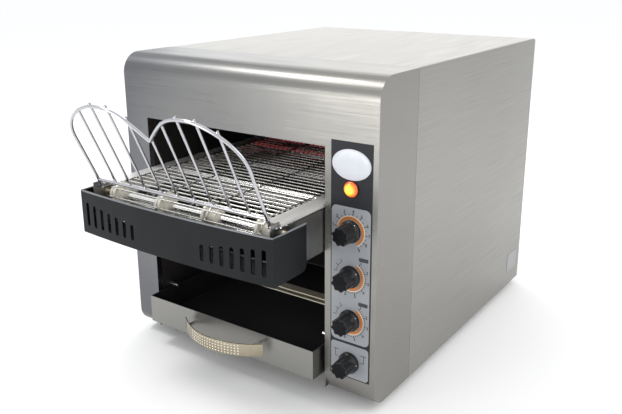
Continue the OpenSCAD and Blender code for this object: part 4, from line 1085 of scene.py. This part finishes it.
deselect()
bpy.ops.mesh.primitive_plane_add(size=1, location=on_strap(-strap_swing, 0, HANDLE_T / 2),
                                 rotation=(math.radians(90), 0, -strap_swing + math.radians(90)))
strap = bpy.context.object
strap.scale = (HANDLE_T * MM, HANDLE_H * MM, 1)
settle(strap)
open_up()
bpy.ops.mesh.bevel(offset=0.45 * MM, segments=3, affect="VERTICES")
bpy.ops.mesh.select_all(action="SELECT")
bpy.ops.mesh.spin(steps=64, angle=2 * strap_swing, center=at(HANDLE_X, strap_axis_y, HANDLE_Z),
                  axis=(0, 0, -1))
close_up()
strap.data.materials.append(handle_nickel)
print("handle strap:", [round(size / MM, 1) for size in strap.dimensions], "mm")

# %% [markdown]
# The strap's front carries rows of small pressed dots that give the fingers a hold. Their light finish is a
# painted highlight. One flattened ball is the dot, and copies of it are turned to face out of the bow.

# %% Pressed dots
DOT_COLUMNS = 18
DOT_ROWS = 4
DOT_RADIUS = 1.05 * MM
deselect()
bpy.ops.mesh.primitive_uv_sphere_add(segments=10, ring_count=6, radius=DOT_RADIUS)
pressed_dot = bpy.context.object
pressed_dot.scale = (1.0, 0.6, 1.0)
settle(pressed_dot)
pressed_dot.data.materials.append(dots_painted_highlight)
dots = []
for i in range(DOT_COLUMNS):
    swing = strap_swing * (i / (DOT_COLUMNS - 1) * 1.07 - 0.5)
    for k in range(DOT_ROWS):
        z = (k - (DOT_ROWS - 1) / 2) * HANDLE_H / (DOT_ROWS + 0.6)
        turned = Matrix.Translation(on_strap(swing, z, HANDLE_T)) @ Matrix.Rotation(swing, 4, "Z")
        dots.append(copy_of(pressed_dot, turned))
bpy.data.objects.remove(pressed_dot)
handle = joined("bowed_handle", [strap] + dots)
hand_over(handle, "bowed_handle", None, "drawer", "handle_steel", "drawer_handle")

# %% [markdown]
# ## Floor and light
# The photograph was cut out on white, so the floor is pale and plain. It reaches far behind the toaster,
# so that its far edge lies above the picture.

# %% Floor
FLOOR_SIZE = 60
deselect()
bpy.ops.mesh.primitive_plane_add(size=FLOOR_SIZE, location=(0, 0, 0))
floor = bpy.context.object
floor.name = "pale_floor"
floor.data.materials.append(plain_finish("pale_floor_paint", (0.95, 0.95, 0.95), 0.8))
print("floor", FLOOR_SIZE, "m across")

# %% [markdown]
# The room was bright all round, so the world is a soft white. Four lamps shape it: a wide one behind that
# makes the top shine, a small one above that draws the bright line along the rounded edge, one in front
# that the header mirrors, and one at the right that keeps the floor white beside the cover.

# %% Light
world = bpy.data.worlds.new("soft_room")
bpy.context.scene.world = world
world.use_nodes = True
background = world.node_tree.nodes["Background"]
background.inputs["Color"].default_value = (0.98, 0.99, 1.0, 1.0)
background.inputs["Strength"].default_value = 1.05


def soft_box(name, place, target, size, energy, color):
    deselect()
    bpy.ops.object.light_add(type="AREA", location=place)
    light = bpy.context.object
    light.name = name
    light.rotation_euler = (Vector(target) - Vector(place)).to_track_quat("-Z", "Y").to_euler()
    light.data.size = size
    light.data.energy = energy
    light.data.color = color


soft_box("back_light", (-0.9, 1.6, 1.1), (0, 0, 0.3), 1.6, 7, (1.0, 0.99, 0.97))
soft_box("ceiling_light", (-1.0, -0.6, 1.9), (0, 0, 0.3), 0.5, 12, (1.0, 0.99, 0.97))
soft_box("front_light", (-0.55, -1.5, 0.3), (0.1, 0, 0.3), 0.6, 5, (1.0, 1.0, 0.98))
soft_box("right_light", (1.9, 0.3, 1.5), (0.5, 0.1, 0), 1.6, 14, (1.0, 0.99, 0.96))
bpy.context.scene.view_settings.view_transform = "Standard"
